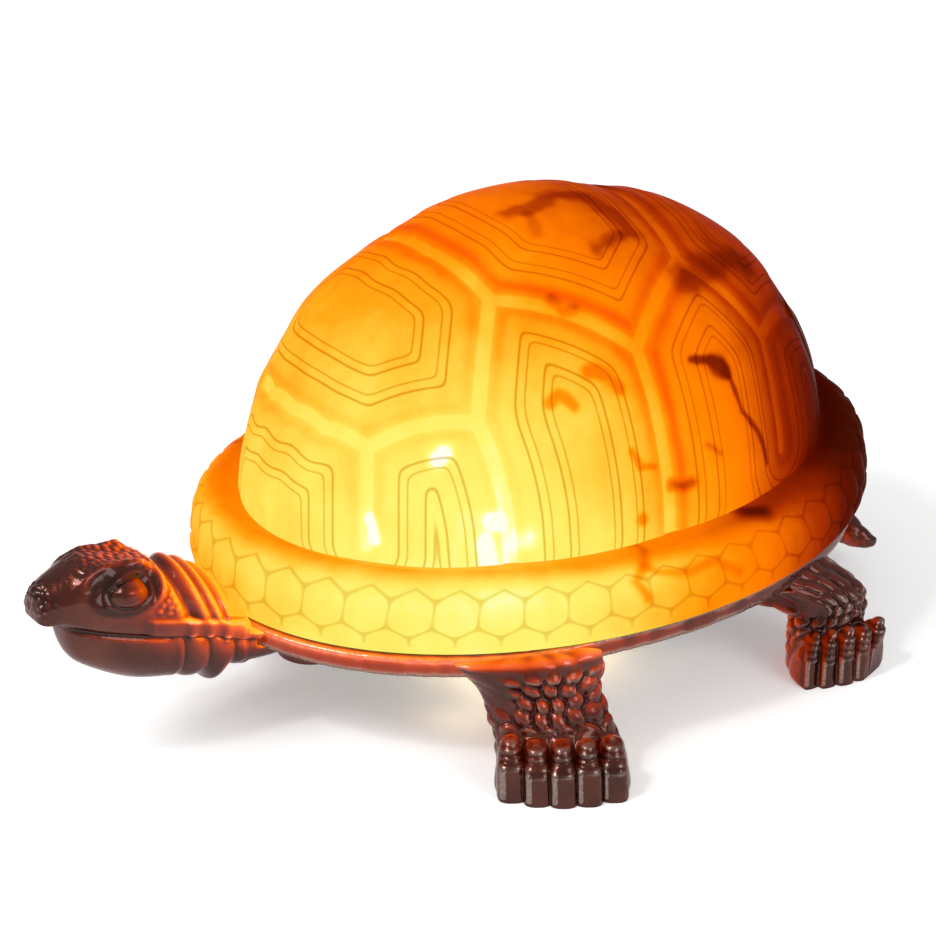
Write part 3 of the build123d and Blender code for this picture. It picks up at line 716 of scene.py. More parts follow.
amber = glass.ramp(depth, [
    (0.0, 1.0, 1.0, 0.85), (0.03, 1.0, 1.0, 0.32), (0.08, 1.0, 0.92, 0.17), (0.15, 1.0, 0.79, 0.11),
    (0.22, 1.0, 0.60, 0.045), (0.29, 1.0, 0.40, 0.008), (0.37, 1.0, 0.25, 0.0), (0.45, 0.98, 0.185, 0.0),
    (0.52, 0.80, 0.13, 0.0), (0.59, 0.54, 0.06, 0.0), (0.67, 0.37, 0.025, 0.0), (0.76, 0.21, 0.010, 0.0),
    (0.85, 0.10, 0.003, 0.0), (0.95, 0.04, 0.001, 0.0)])
# Plate edges far from the glow take a painted deeper red shade, most where they face away from it
amber = glass.blend(gap.band(3.4, 2.8) * glass.number("edge_far") * 0.85, amber, edge_shade_amber)
lit = glass.blend(lines, amber, (0.78, 0.64, 0.46, 1.0), "MULTIPLY")
glass.set(
    Base_Color=(0.020, 0.004, 0.0004, 1.0), Roughness=0.3, Emission_Color=lit, Emission_Strength=1.0,
    Specular_IOR_Level=0.05, IOR=1.04)
glass.wear(carapace_dome, carapace_rim, carapace_lining)
print("amber glass worn by the carapace")

# %% [markdown]
# ## Castings from the CAD solids
# The bronze turtle was cast from a carved pattern: scales, toes, folds and soft edges everywhere. Its
# solids already have the main shapes, so each casting starts as a merged copy of its solid, remeshed
# into even little squares and smoothed a few times. Carving is then mostly a move of vertices along their
# normals. How hollow or sharp each vertex ends up is kept for the finish, which rubs crests bright.

# %% Casting helpers
merge_gap = 1e-3
casting_rounds = 3
knob_reach = 0.74
knob_bluntness = 0.8


def casting_copy(node, voxel, rounds, add_forms=None):
    """Evenly meshed copy of one CAD casting in working space, joined with added forms and softened."""
    bm = bmesh.new()
    bm.from_mesh(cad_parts[node].data)
    bmesh.ops.transform(bm, matrix=FROM_FRAME, verts=bm.verts)
    bmesh.ops.remove_doubles(bm, verts=bm.verts, dist=merge_gap)
    if add_forms:
        add_forms(bm)
    rough_mesh = bpy.data.meshes.new("rough")
    bm.to_mesh(rough_mesh)
    bm.free()
    rough = link_object("rough", rough_mesh)
    even = rough.modifiers.new("even", "REMESH")
    even.mode = "VOXEL"
    even.voxel_size = voxel
    shaped = bpy.data.meshes.new_from_object(rough.evaluated_get(bpy.context.evaluated_depsgraph_get()))
    bm = bmesh.new()
    bm.from_mesh(shaped)
    bpy.data.objects.remove(rough)
    bpy.data.meshes.remove(rough_mesh)
    bpy.data.meshes.remove(shaped)
    soften(bm, rounds)
    return bm


def soften(bm, rounds, chosen=None):
    """Smooth the whole mesh, or melt only the chosen vertices."""
    verts = bm.verts[:] if chosen is None else [vertex for vertex, pick in zip(bm.verts, chosen) if pick]
    for _ in range(rounds):
        bmesh.ops.smooth_vert(
            bm, verts=verts, factor=0.5, use_axis_x=True, use_axis_y=True, use_axis_z=True)


def hollowness(bm, rounds=3):
    """How far each vertex lies below its neighbours: above zero in a hollow, below zero on a crest."""
    bm.verts.index_update()
    pairs = np.array([(edge.verts[0].index, edge.verts[1].index) for edge in bm.edges])
    places = vertex_places(bm)
    counts = np.bincount(pairs.ravel(), minlength=len(places))[:, None].clip(1)

    def neighbour_mean(values):
        total = np.zeros_like(values)
        np.add.at(total, pairs[:, 0], values[pairs[:, 1]])
        np.add.at(total, pairs[:, 1], values[pairs[:, 0]])
        return total / counts

    smooth = places
    for _ in range(rounds):
        smooth = neighbour_mean(smooth)
    return ((smooth - places) * vertex_normals(bm)).sum(axis=1)


def scale_relief(places, allowed, pitch, seed):
    """Height share of scales: seeds a pitch apart on the surface, high inside and low between them."""
    order = np.random.default_rng(seed).permutation(np.flatnonzero(allowed))
    seeds = np.empty((0, 3))
    for index in order:
        place = places[index]
        if not len(seeds) or np.linalg.norm(seeds - place, axis=1).min() > pitch:
            seeds = np.vstack([seeds, place])
    tree = KDTree(len(seeds))
    for index, place in enumerate(seeds):
        tree.insert(place, index)
    tree.balance()
    height = np.zeros(len(places))
    for index in np.flatnonzero(allowed):
        height[index] = 1 - (tree.find(places[index])[2] / (pitch * knob_reach)) ** 2
    return np.clip(height, 0, 1) ** knob_bluntness, len(seeds)


emitter_rows = (50, 0, -50)
emitter_count = 72
emitter_distances = [30, 45, 60, 75, 90, 110]
emitter_levels = [1.4, 1.0, 0.42, 0.16, 0.07, 0.03]
spill_reach = 26.0
spill_drop = 11.0
spill_wrap = 0.45
spill_softness = 1.0
spill_below = 0.3
spill_above = 0.9
upward_run = (-0.3, 0.6)
slot_place = np.array([0.0, -12.0, 12.0])
slot_light = 0.34
slot_reach = 50.0


def rim_emitters():
    """Places, normals and light of small patches of the rim, which shine on the castings."""
    spots = []
    faces = []
    for swing in emitter_rows:
        inset, height = rim_point(swing)
        level = math.cos(math.radians(swing))
        for turn in np.linspace(0, 2 * math.pi, emitter_count, endpoint=False):
            across = math.cos(turn)
            along = math.sin(turn)
            spots.append(((shell_half_width - inset) * across, (shell_half_length - inset) * along, height))
            faces.append((level * across, level * along, math.sin(math.radians(swing))))
    spots = np.array(spots)
    patch = oval_runs[-1] / emitter_count * rim_lengths[-1] / len(emitter_rows)
    light = np.interp(glow_distance(spots), emitter_distances, emitter_levels)
    return spots, np.array(faces), light * patch


def spill_light(bm, fade):
    """Share of the rim's light that falls on each vertex, from the two facing angles and the distance."""
    places = vertex_places(bm)
    normals = vertex_normals(bm)
    total = np.zeros(len(places))
    for spot, face, light in zip(*rim_emitters()):
        reach = spot - places
        distance = np.linalg.norm(reach, axis=1) + spill_softness
        facing = ((reach * normals).sum(axis=1) + spill_wrap * distance) / (1 + spill_wrap)
        fall = np.clip(facing, 0, None) * np.clip(-(reach @ face), 0, None)
        total += light * fall / (math.pi * distance ** 4)
    oval = np.hypot(places[:, 0] / shell_half_width, places[:, 1] / shell_half_length)
    beyond = np.clip(oval - 1, 0, None) * shell_half_length
    below = np.clip(glass_foot - places[:, 2], 0, None)
    upward = spill_below + spill_above * ease(normals[:, 2], *upward_run)
    total *= upward * np.exp(-beyond / fade - below / spill_drop)
    reach = slot_place - places
    distance = np.linalg.norm(reach, axis=1)
    facing = np.clip((reach * normals).sum(axis=1) / distance, 0, 1)
    return total + slot_light * facing * np.exp(-distance / slot_reach)


def cast_piece(name, bm, node, gain=1.0, ceiling=0.17, fade=spill_reach, patina_shade_and_highlight=0.0):
    """Bronze casting; gain, ceiling and fade shape its painted glow; the last number darkens it or, below zero,
    lights it.
    """
    # The last number adds patina and a painted shade to the hollow number, or below zero a painted highlight
    keep_number(bm, "hollow", hollowness(bm) + patina_shade_and_highlight)
    spill = ceiling * (1 - np.exp(-gain * spill_light(bm, fade) / ceiling))
    print(name, "spill light up to", round(float(spill.max()), 3))
    keep_number(bm, "spill", spill)
    return new_piece(name, bm, "base", "bronze", node)


print("casting helpers ready")

# %% [markdown]
# ## Legs
# Each leg is a short column of knobbly scales that spreads out of the tray and ends in five blunt
# claws with creased knuckles. The right legs are mirror copies of the left ones, as the solids are.

# %% Legs
leg_voxel = 0.36
scale_pitch = 4.3
scale_row = 2.9
scale_rise = 1.35
scale_sink_share = 0.25
scale_fade = 3.0
knob_spread = 0.52
aside_jitter = (0.16, 12.99, 78.23)
above_jitter = (0.14, 39.35, 11.14)
leg_girth = 9.0
small_foot_share = 0.6
toe_pitch = 5.4
toe_reach = 7.6
toe_arc = 0.55
toe_top = 11.0
toe_front = 2.5
toe_soften_rounds = 10
toe_soften_run = (toe_top - 2.5, toe_top + 2.0)
toe_top_run = (toe_top + 0.5, toe_top + 2.0)
toe_front_run = (toe_front - 1.5, toe_front + 1.0)
scale_foot_run = (toe_top - 1.5, toe_top + 1.0)
heel_run = (-2.0, 1.5)
heel_height_run = (3.5, 6.0)
heel_scale_share = 0.6
side_run = (8.0, 11.0)
side_height_run = (12.0, 18.0)
side_smooth_share = 0.85
claw_sizes = (4.8, 2.85, 5.2)
claw_forward = 3.4
claw_sink = 2.0
claw_lean = -0.16
claw_slant = Matrix.Identity(4)
claw_slant[0][2] = claw_lean
claw_groove = 0.2
groove_run = (0.0, 0.6)
claw_ridge = 0.35
claw_top_run = (6.0, 8.0)
claw_tip_run = (0.3, 1.5)
ridge_highlight_level = 0.16
ridge_aside = 0.2
ridge_run = (0.1, 0.8)
knuckle_heights = [6.8, 8.2, 9.6, 10.9]
knuckle_rise = 0.34
knuckle_stagger = 0.5
knuckle_wave = 2.1
knuckle_run = (0.2, 0.9)
knuckle_side_run = (0.2, 1.6)
tray_low, tray_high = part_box("tray_casting")
tray_half_width = tray_high.x / MM
tray_thickness = 4.8
tray_top = tray_high.z / MM
tray_bottom = tray_top - tray_thickness
flare_drop = 11.0
flare_reach = 7.5
flare_half_width = 11.0
cove_power = 2.4
inner_share = 0.8
squeeze_depth = 9.0
squeeze_layer = 1.0
shoulder_share = 0.275
heel_trim_run = (14.0, 22.0)
knee_height = 18.0
knee_reach = 7.0
shift_run = np.array([0.588, 0.809])
floor_gap = 0.05
flange_soften_rounds = 14
flange_soften_rise = 1.0
print("tray box", [round(value / MM, 2) for value in (*tray_low, *tray_high)])


def jitter(column, index, share, column_wave, index_wave):
    """Scatter of a knob's place, the same each time for the same knob."""
    return share * np.sin(column * column_wave + index * index_wave)


def knob_rows(around, height, pitch, row):
    """Height share of knobs in staggered rows round a leg, each set a little off its place."""
    share = np.zeros(len(around))
    for step in (0, 1):
        index = np.floor(height / row) + step
        shifted = around - (index % 2) * pitch / 2
        column = np.round(shifted / pitch)
        aside = shifted - pitch * (column + jitter(column, index, *aside_jitter))
        above = height - row * (index + jitter(column, index, *above_jitter))
        share = np.maximum(share, 1 - (aside ** 2 + above ** 2) / (pitch * knob_spread) ** 2)
    return np.clip(share, 0, 1) ** knob_bluntness


def claws(foot, facing, size, claw_bevel):
    """Function that adds five blunt claws to a foot, side by side and bevelled."""
    def add(bm):
        turn = Matrix.Translation((*foot, 0)) @ Matrix.Rotation(math.radians(facing), 4, "Z")
        length, _, height = claw_sizes
        stretch = Matrix.Diagonal((*(value * size for value in claw_sizes), 1))
        for step in range(-2, 3):
            outward = (toe_reach - toe_arc * step ** 2 + claw_forward - length / 2) * size
            middle = (outward, step * toe_pitch * size, height * size - claw_sink)
            bevelled_block(bm, turn @ Matrix.Translation(middle) @ claw_slant @ stretch, claw_bevel * size)
    return add


def tray_share(places):
    """Share of the way from the tray's middle out to its oval edge."""
    return np.hypot(places[:, 0] / tray_half_width, places[:, 1] / shell_half_length)


def squeeze_in(places, flush_share):
    """Draw a leg's top in under the tray, little by little, and stop its foot at the shoulder's share."""
    oval = tray_share(places)
    overhang = np.clip(oval - inner_share, 0, None)
    top_overhang = overhang[places[:, 2] > tray_bottom - squeeze_layer].max()
    taken = max(0.0, 1 - (flush_share - inner_share) / top_overhang)
    inward = overhang * taken * ease(places[:, 2], tray_bottom - squeeze_depth, tray_bottom)
    inward = np.maximum(inward, oval - flush_share - shoulder_share)
    places[:, :2] *= (1 - np.clip(inward, 0, None) / oval)[:, None]


def carve_leg(
        node, hip, foot, facing, size, claw_bevel, foot_shift, knee_shift, leg_fullness, heel_trim,
        rear_flare, scale_top, flush_share):
    """Carved copy of one left leg, and the number that paints a highlight along the ridges of its claws."""
    bm = casting_copy(node, leg_voxel, casting_rounds, claws(foot, facing, size, claw_bevel))
    places = vertex_places(bm)
    forward = np.array([math.cos(math.radians(facing)), math.sin(math.radians(facing))])
    aside = np.array([-forward[1], forward[0]])
    ahead = (places[:, :2] - foot) @ forward / size
    across = (places[:, :2] - foot) @ aside / size
    height = places[:, 2] / (small_foot_share + (1 - small_foot_share) * size)
    toe_seam = (height > toe_soften_run[0]) & (height < toe_soften_run[1])
    soften(bm, toe_soften_rounds, toe_seam & (ahead > toe_front))
    places = vertex_places(bm)
    normals = vertex_normals(bm)
    toe_share = ebb(height, *toe_top_run) * ease(ahead, *toe_front_run)
    climb = np.clip(places[:, 2:] / tray_top, 0, 1)
    from_middle = places[:, :2] - hip * climb - foot * (1 - climb)
    around = np.arctan2(from_middle @ aside, from_middle @ forward) * leg_girth * size
    grown = (1 + size) / 2
    scales = knob_rows(around, places[:, 2], scale_pitch * grown, scale_row * grown)
    scale_end = tray_top - scale_top
    scale_share = ease(height, *scale_foot_run) * ebb(places[:, 2], scale_end, scale_end + scale_fade)
    heel_share = ebb(ahead, *heel_run) * ease(height, *heel_height_run) * heel_scale_share
    side_share = ease(np.abs(across), *side_run) * ease(places[:, 2], *side_height_run)
    scale_share = np.maximum(scale_share, heel_share) * (1 - toe_share) * (1 - side_smooth_share * side_share)
    toe_step = (across / toe_pitch + 0.5) % 1.0
    from_groove = np.minimum(toe_step, 1 - toe_step) * toe_pitch
    lift = (scales - scale_sink_share) * scale_rise * scale_share + leg_fullness
    lift -= claw_groove * ebb(from_groove, *groove_run) * toe_share
    claw_share = toe_share * ebb(height, *claw_top_run) * ease(height, *claw_tip_run)
    ridge = ebb(np.abs(toe_step - ridge_aside) * toe_pitch, *ridge_run) * claw_share
    lift += claw_ridge * ridge
    stagger = knuckle_stagger * np.sin(np.floor(across / toe_pitch + 0.5) * knuckle_wave)
    for middle in knuckle_heights:
        ring = ebb(np.abs(height - middle - stagger), *knuckle_run)
        lift += knuckle_rise * ring * toe_share * ease(from_groove, *knuckle_side_run)
    places = places + normals * lift[:, None]
    cove = np.clip((places[:, 2] - tray_bottom + flare_drop) / flare_drop, 0, 1) ** cove_power
    edge_normal = np.array([hip[0] / shell_half_width ** 2, hip[1] / shell_half_length ** 2])
    edge_run = np.array([-edge_normal[1], edge_normal[0]]) / np.linalg.norm(edge_normal)
    spread = np.clip(across / flare_half_width, -1.0, 1.0)
    flare = spread * np.abs(spread) * flare_reach * size * cove * np.where(spread > 0, rear_flare, 1.0)
    places[:, :2] += edge_run * flare[:, None]
    squeeze_in(places, flush_share)
    run = (places[:, :2] - foot) @ shift_run
    trim = heel_trim * np.clip(-run, 0, None) * ebb(places[:, 2], *heel_trim_run)
    places[:, :2] += trim[:, None] * shift_run
    shift = foot_shift * ebb(places[:, 2], 0.0, tray_top)
    shift += knee_shift * hill(places[:, 2], knee_height, knee_reach)
    places[:, :2] += shift[:, None] * shift_run
    places[:, 2] = np.maximum(places[:, 2], floor_gap)
    move_vertices(bm, places)
    soften(bm, flange_soften_rounds, places[:, 2] > scale_end + flange_soften_rise)
    soften(bm, 1)
    print(node, "faces", len(bm.faces), "knobs up to", round(float((scales * scale_share).max()), 2))
    # A painted highlight along one side of each claw
    return bm, -ridge_highlight_level * ridge


def mirrored(bm):
    """Copy of a mesh on the other side of the turtle."""
    other = bm.copy()
    bmesh.ops.scale(other, vec=(-1, 1, 1), verts=other.verts)
    bmesh.ops.reverse_faces(other, faces=other.faces)
    return other


# Each pair: its end, hip, foot, facing in degrees, size, claw bevel, the shifts of foot and knee, its
# fullness, the share trimmed off its heel, the share of its flare that is kept towards the rear, how far
# below the tray's top its scales start to fade, and the share of the tray's oval at which its top ends
leg_plans = [
    ("front", (50.73, -38.06), (61.73, -38.56), -34.0, 1.0, 2.1, 1.0, 0.0, 0.55, 0.0, 1.0, 8.0, 2.0),
    ("rear", (51.68, 35.64), (58.68, 41.64), -12.0, 0.82, 1.9, -2.0, 4.0, 0.1, 0.18, 0.35, 5.5, 0.95),
]
castings = []
for end, hip, foot, *plan in leg_plans:
    left, ridge_highlight = carve_leg(end + "_left_leg", np.array(hip), np.array(foot), *plan)
    right = mirrored(left)
    castings.append(cast_piece(end + "_left_leg_cast", left, end + "_left_leg", patina_shade_and_highlight=ridge_highlight))
    castings.append(cast_piece(end + "_right_leg_cast", right, end + "_right_leg", patina_shade_and_highlight=ridge_highlight))

# %% [markdown]
# ## Head and neck
# The head turns its blunt beak to the front, with a sunk oval round each eye, a ridge over it, small
# scales on the crown, and a neck that wrinkles where it draws in under the glass. A hem runs along the
# neck over the mouth line and scallops below it make the throat.

# %% Head
head_voxel = 0.34
socket_centre = np.array([-112.6, 43.0])
eye_centre = np.array([-111.3, 42.9])
socket_sizes = np.array([8.4, 5.6])
eye_sizes = np.array([4.6, 3.2])
socket_depth = 1.7
eye_rise = 2.3
eye_patina_and_shade = 0.15
throat_painted_shade = 0.08
lid_rise = 0.2
brow_rise = 1.0
neck_grooves = [(-98.6, 1.7, 1.6), (-94.4, 0.5, 0.8), (-91.6, 0.35, 0.8)]
neck_ribs = [(-101.3, 0.2, 1.2), (-96.3, 0.45, 1.2), (-93.0, 0.35, 0.9)]
groove_slant = -0.22
groove_level = 38.0
hem_height = 4.4
hem_rise = 0.6
pleat_pitch = 8.5
pleat_rise = 0.15
lobe_pitch = 5.8
lobe_rise = 0.9
crown_pitch = 1.4
crown_rise = 0.38
snout_drop = 0.5
crown_drop = 0.9
brow_bulge = 1.1
throat_growth = 0.3
nostril = np.array([2.4, -128.4, 42.4])
nostril_radius = 1.2
nostril_depth = 0.9
nostril_run = (0.3 * nostril_radius, nostril_radius * 1.2)
seam_height = 37.65
seam_start = -129.7
seam_slope = -0.2854
smooth_rounds = 60
nose_rounds = 14
throat_rounds = 80
side_start = 4.0
side_face_run = (side_start, 6.5)
eye_soft_reach = 1.5
eye_soft_top = 48.0
crown_soft_run = (-121.0, -100.0)
crown_soft_foot = 44.0
nose_soft_end = -121.5
neck_soft_run = (-106.0, -85.0)
neck_soft_foot = 0.4
throat_soft_run = (-97.0, -84.0)
throat_soft_top = -6.5
seam_run = (-1.0, 3.0)
snout_run = (111.0, 124.0)
crown_hill = (-110.0, 9.0)
crown_hill_run = (8.0, 14.0)
brow_hill = (-117.5, 5.0)
brow_hill_run = (4.0, 9.0)
throat_start = 1.0
throat_end_run = (-92.0, -85.0)
socket_run = (0.45, 1.05)
socket_lower_share = 0.3
socket_upper_run = (-0.5, 0.3)
eye_roundness = 0.75
lid_place = 1.22
lid_run = (0.0, 0.2)
brow_place = 1.12
brow_run = (0.0, 0.22)
brow_tilt = 0.6
brow_upper_run = (-0.5, 0.4)
crown_along = (-123.0, -98.0)
crown_foot = 4.0
crown_facing = -0.1
crown_back = -108.5
crown_seed = 11
crown_level = 0.35
crown_start_run = (-122.5, -119.0)
crown_end_run = (-103.0, -100.0)
crown_eye_run = (1.15, 1.35)
crown_facing_run = (crown_facing, 0.3)
crown_back_run = (-107.5, -105.0)
crown_back_height_run = (4.5, 6.5)
hem_run = (hem_height - 0.5, hem_height + 0.7)
hem_foot_run = (-0.2, 0.4)
neck_start_run = (-109.0, -106.5)
neck_end_run = (-86.0, -84.0)
pleat_start = -99.0
pleat_level = 0.6
lobe_top_run = (-0.8, 0.0)
lobe_start_run = (-101.5, -99.0)
lobe_level = 0.4
nose_end = -125.5
nose_pitch = 1.3
nose_seed = 21
nose_rise = 0.34
nose_level = 0.4
nose_run = (-127.5, nose_end)
nose_height_run = (1.0, 2.5)
mouth_depth = 0.4
mouth_drop = 0.3
mouth_run = (0.2, 0.9)
mouth_end_run = (-104.0, -101.0)
shade_run = (0.85, 1.1)
shade_eye_share = 0.45
shade_eye_run = (0.9, 1.15)
throat_shade_run = (-0.6, 0.6)
head_gain = 4.6
head_ceiling = 0.85
head_fade = 30.0

beak_centre = (0, -125.6, 39.9)
beak_sizes = (4.7, 4.2, 3.3)
beak_bevel = 1.9


def add_beak(bm):
    """Square off the front of the snout with a bevelled block."""
    bevelled_block(bm, Matrix.Translation(beak_centre) @ Matrix.Diagonal((*beak_sizes, 1)), beak_bevel)


head = casting_copy("head_casting", head_voxel, casting_rounds, add_beak)


def head_numbers(bm):
    """Places and normals of the head, the distance beside its middle and the height of its mouth line."""
    places = vertex_places(bm)
    seam = seam_height + (places[:, 1] - seam_start) * seam_slope
    return places, vertex_normals(bm), np.abs(places[:, 0]), seam


def within(values, low, high):
    return (values > low) & (values < high)


def waves(values, pitch):
    """Row of round humps, one to a pitch, that starts where the pleats do."""
    return np.abs(np.sin(math.pi * (values - pleat_start) / pitch))


places, normals, beside, seam = head_numbers(head)
along = places[:, 1]
height = places[:, 2]
near_eye = np.linalg.norm((places[:, 1:] - socket_centre) / socket_sizes, axis=1) < eye_soft_reach
soften(head, smooth_rounds, (beside > side_start) & near_eye & (height < eye_soft_top))
soften(head, smooth_rounds, within(along, *crown_soft_run) & (height > crown_soft_foot))
soften(head, nose_rounds, along < nose_soft_end)
soften(head, smooth_rounds, within(along, *neck_soft_run) & (height > seam + neck_soft_foot))
soften(head, throat_rounds, within(along, *throat_soft_run) & (height < seam + throat_soft_top))
places, normals, beside, seam = head_numbers(head)
along = places[:, 1]
above_seam = places[:, 2] - seam
drop = snout_drop * ease(-along, *snout_run) * ease(above_seam, *seam_run)
drop += crown_drop * hill(along, *crown_hill) * ease(above_seam, *crown_hill_run)
drop -= brow_bulge * hill(along, *brow_hill) * ease(above_seam, *brow_hill_run)
drop += throat_growth * np.clip(seam - throat_start - places[:, 2], 0, None) * ebb(along, *throat_end_run)
places[:, 2] -= drop
move_vertices(head, places)
places, normals, beside, seam = head_numbers(head)
along = places[:, 1]
height = places[:, 2]
above_seam = height - seam
side_face = ease(beside, *side_face_run)

socket_offset = (places[:, 1:] - socket_centre) / socket_sizes
socket_reach = np.linalg.norm(socket_offset, axis=1)
eye_reach = np.linalg.norm((places[:, 1:] - eye_centre) / eye_sizes, axis=1)
socket_upper = socket_lower_share + (1 - socket_lower_share) * ease(socket_offset[:, 1], *socket_upper_run)
head_lift = -socket_depth * ebb(socket_reach, *socket_run) * side_face * socket_upper
head_lift += eye_rise * np.clip(1 - eye_reach ** 2, 0, 1) ** eye_roundness * side_face
head_lift += lid_rise * ebb(np.abs(eye_reach - lid_place), *lid_run) * side_face
brow_upper = ease(socket_offset[:, 1] + brow_tilt * socket_offset[:, 0], *brow_upper_run)
head_lift += brow_rise * ebb(np.abs(socket_reach - brow_place), *brow_run) * brow_upper * side_face

crown = within(along, *crown_along) & (above_seam > crown_foot)
crown &= (normals[:, 2] > crown_facing) | (along > crown_back)
crown_scales, crown_count = scale_relief(places, crown, crown_pitch, crown_seed)
crown_share = ease(along, *crown_start_run) * ebb(along, *crown_end_run)
crown_share *= 1 - side_face * ebb(socket_reach, *crown_eye_run)
back_share = ease(along, *crown_back_run) * ease(above_seam, *crown_back_height_run)
crown_share *= np.maximum(ease(normals[:, 2], *crown_facing_run), back_share)
head_lift += crown_rise * (crown_scales - crown_level) * crown_share

above_hem = ease(above_seam, *hem_run)
neck_run = along - groove_slant * (height - groove_level)
for run_place, groove_depth, half_width in neck_grooves:
    head_lift -= groove_depth * hill(neck_run, run_place, half_width) * above_hem
for run_place, rib_rise, half_width in neck_ribs:
    head_lift += rib_rise * hill(neck_run, run_place, half_width) * above_hem
neck_end = ebb(along, *neck_end_run)
neck_share = ease(along, *neck_start_run) * neck_end
hem_share = (1 - above_hem) * ease(above_seam, *hem_foot_run) * neck_share * side_face
head_lift += hem_share * (hem_rise + pleat_rise * (waves(along, pleat_pitch) - pleat_level))
lobe_share = ebb(above_seam, *lobe_top_run) * ease(along, *lobe_start_run) * neck_end
head_lift += lobe_share * lobe_rise * (waves(along, lobe_pitch) - lobe_level)
to_nostril = np.linalg.norm(np.stack([beside, along, height], axis=1) - nostril, axis=1)
head_lift -= nostril_depth * ebb(to_nostril, *nostril_run)
nose_grain, _ = scale_relief(places, along < nose_end, nose_pitch, nose_seed)
nose_share = ebb(along, *nose_run) * ease(above_seam, *nose_height_run)
head_lift += nose_rise * (nose_grain - nose_level) * nose_share
head_lift -= mouth_depth * ebb(np.abs(above_seam + mouth_drop), *mouth_run) * ebb(along, *mouth_end_run)

move_vertices(head, places + normals * head_lift[:, None])
soften(head, 1)
print("head faces", len(head.faces), "crown scales", crown_count)
# Patina and a painted shade in the eye sockets, less on the eyeballs, which also dims the painted glow there, and a
# painted shade under the mouth line
eye_shade = shade_eye_share + (1 - shade_eye_share) * ease(eye_reach, *shade_eye_run)
eye_shade *= ebb(socket_reach, *shade_run) * side_face
head_patina_and_shade = eye_patina_and_shade * eye_shade + throat_painted_shade * ebb(above_seam, *throat_shade_run)
castings.append(
    cast_piece("head_cast", head, "head_casting", head_gain, head_ceiling, head_fade, head_patina_and_shade))

# %% [markdown]
# ## Tail and tray
# The tail is a small drooping cone with low scattered scales. The tray needs its edges rounded, because
# sand casting and polishing leave none sharp, and its edge is drawn in and thinned behind the front legs.

# %% Tail and tray
edge_inset = 1.8
edge_rise = 0.7
inset_oval_run = (0.9, 0.97)
inset_along_run = (-50.0, -15.0)
rise_oval_run = (0.86, 0.95)
rise_along_run = (-45.0, -20.0)
tray_voxel = 0.8
tray_rounds = 2
tail_voxel = 0.36
tail_pitch = 2.6
tail_seed = 3
tail_top_run = (tray_top - 3.0, tray_top - 1.0)
tail_lift = 1.3
tail_scale_rise = 0.3
tail = casting_copy("tail_casting", tail_voxel, casting_rounds)
tail_places = vertex_places(tail)
tail_scales, tail_count = scale_relief(tail_places, tail_places[:, 2] > 0, tail_pitch, tail_seed)
tail_share = ebb(tail_places[:, 2], *tail_top_run)
tail_moves = vertex_normals(tail) * (tail_scale_rise * tail_scales * tail_share)[:, None]
tail_moves[:, 2] += tail_lift * tail_share
move_vertices(tail, tail_places + tail_moves)
soften(tail, 1)
castings.append(cast_piece("tail_cast", tail, "tail_casting"))

tray = casting_copy("tray_casting", tray_voxel, tray_rounds)
tray_places = vertex_places(tray)
tray_oval = tray_share(tray_places)
tray_inset = edge_inset * ease(tray_oval, *inset_oval_run) * ease(tray_places[:, 1], *inset_along_run)
tray_run = tray_places[:, :2] / np.linalg.norm(tray_places[:, :2], axis=1, keepdims=True)
tray_places[:, :2] -= tray_run * tray_inset[:, None]
tray_rise = edge_rise * ease(tray_oval, *rise_oval_run) * ease(tray_places[:, 1], *rise_along_run)
tray_depth = np.clip((tray_top - tray_places[:, 2]) / tray_thickness, 0, 1)
tray_places[:, 2] += tray_rise * tray_depth
move_vertices(tray, tray_places)
print("tray faces", len(tray.faces), "tail scales", tail_count)
castings.append(cast_piece("tray_cast", tray, "tray_casting"))

# %% [markdown]
# ## Bronze
# The castings wear a dark reddish patina: nearly black in the hollows, warm brown on the flats, and
# worn to a greyish beige along the crests. Fine casting grain keeps the gloss from looking like
# plastic. The glass's light on them is painted as a glow, stronger on crests and dark in hollows. The
# eye sockets and throat get a painted shade, and one side of each claw ridge a painted highlight.

# %% Bronze
bronze = Finish("bronze")
bronze_place = bronze.place()
patina = bronze.noise(bronze_place, 0.10, 5.0)
grain = bronze.noise(bronze_place, 1.6, 4.0, 0.6)
dents = bronze.noise(bronze_place, 0.5, 2.0)
hollow = bronze.number("hollow")
body_colour = bronze.ramp(patina, [
    (0.30, 0.034, 0.006, 0.003), (0.55, 0.070, 0.014, 0.007), (0.75, 0.115, 0.028, 0.015)])
# Crests lighten as wear and the claw ridges as a painted highlight; hollows darken as patina, and the eye sockets and
# throat as a painted shade
rub_and_highlight = hollow.step(-0.05, -0.16) * grain.step(0.3, 0.6, 0.45, 1.0)
pit_and_shade = hollow.step(0.04, 0.16)
worn = bronze.blend(rub_and_highlight * 0.6, body_colour, (0.34, 0.28, 0.24, 1.0))
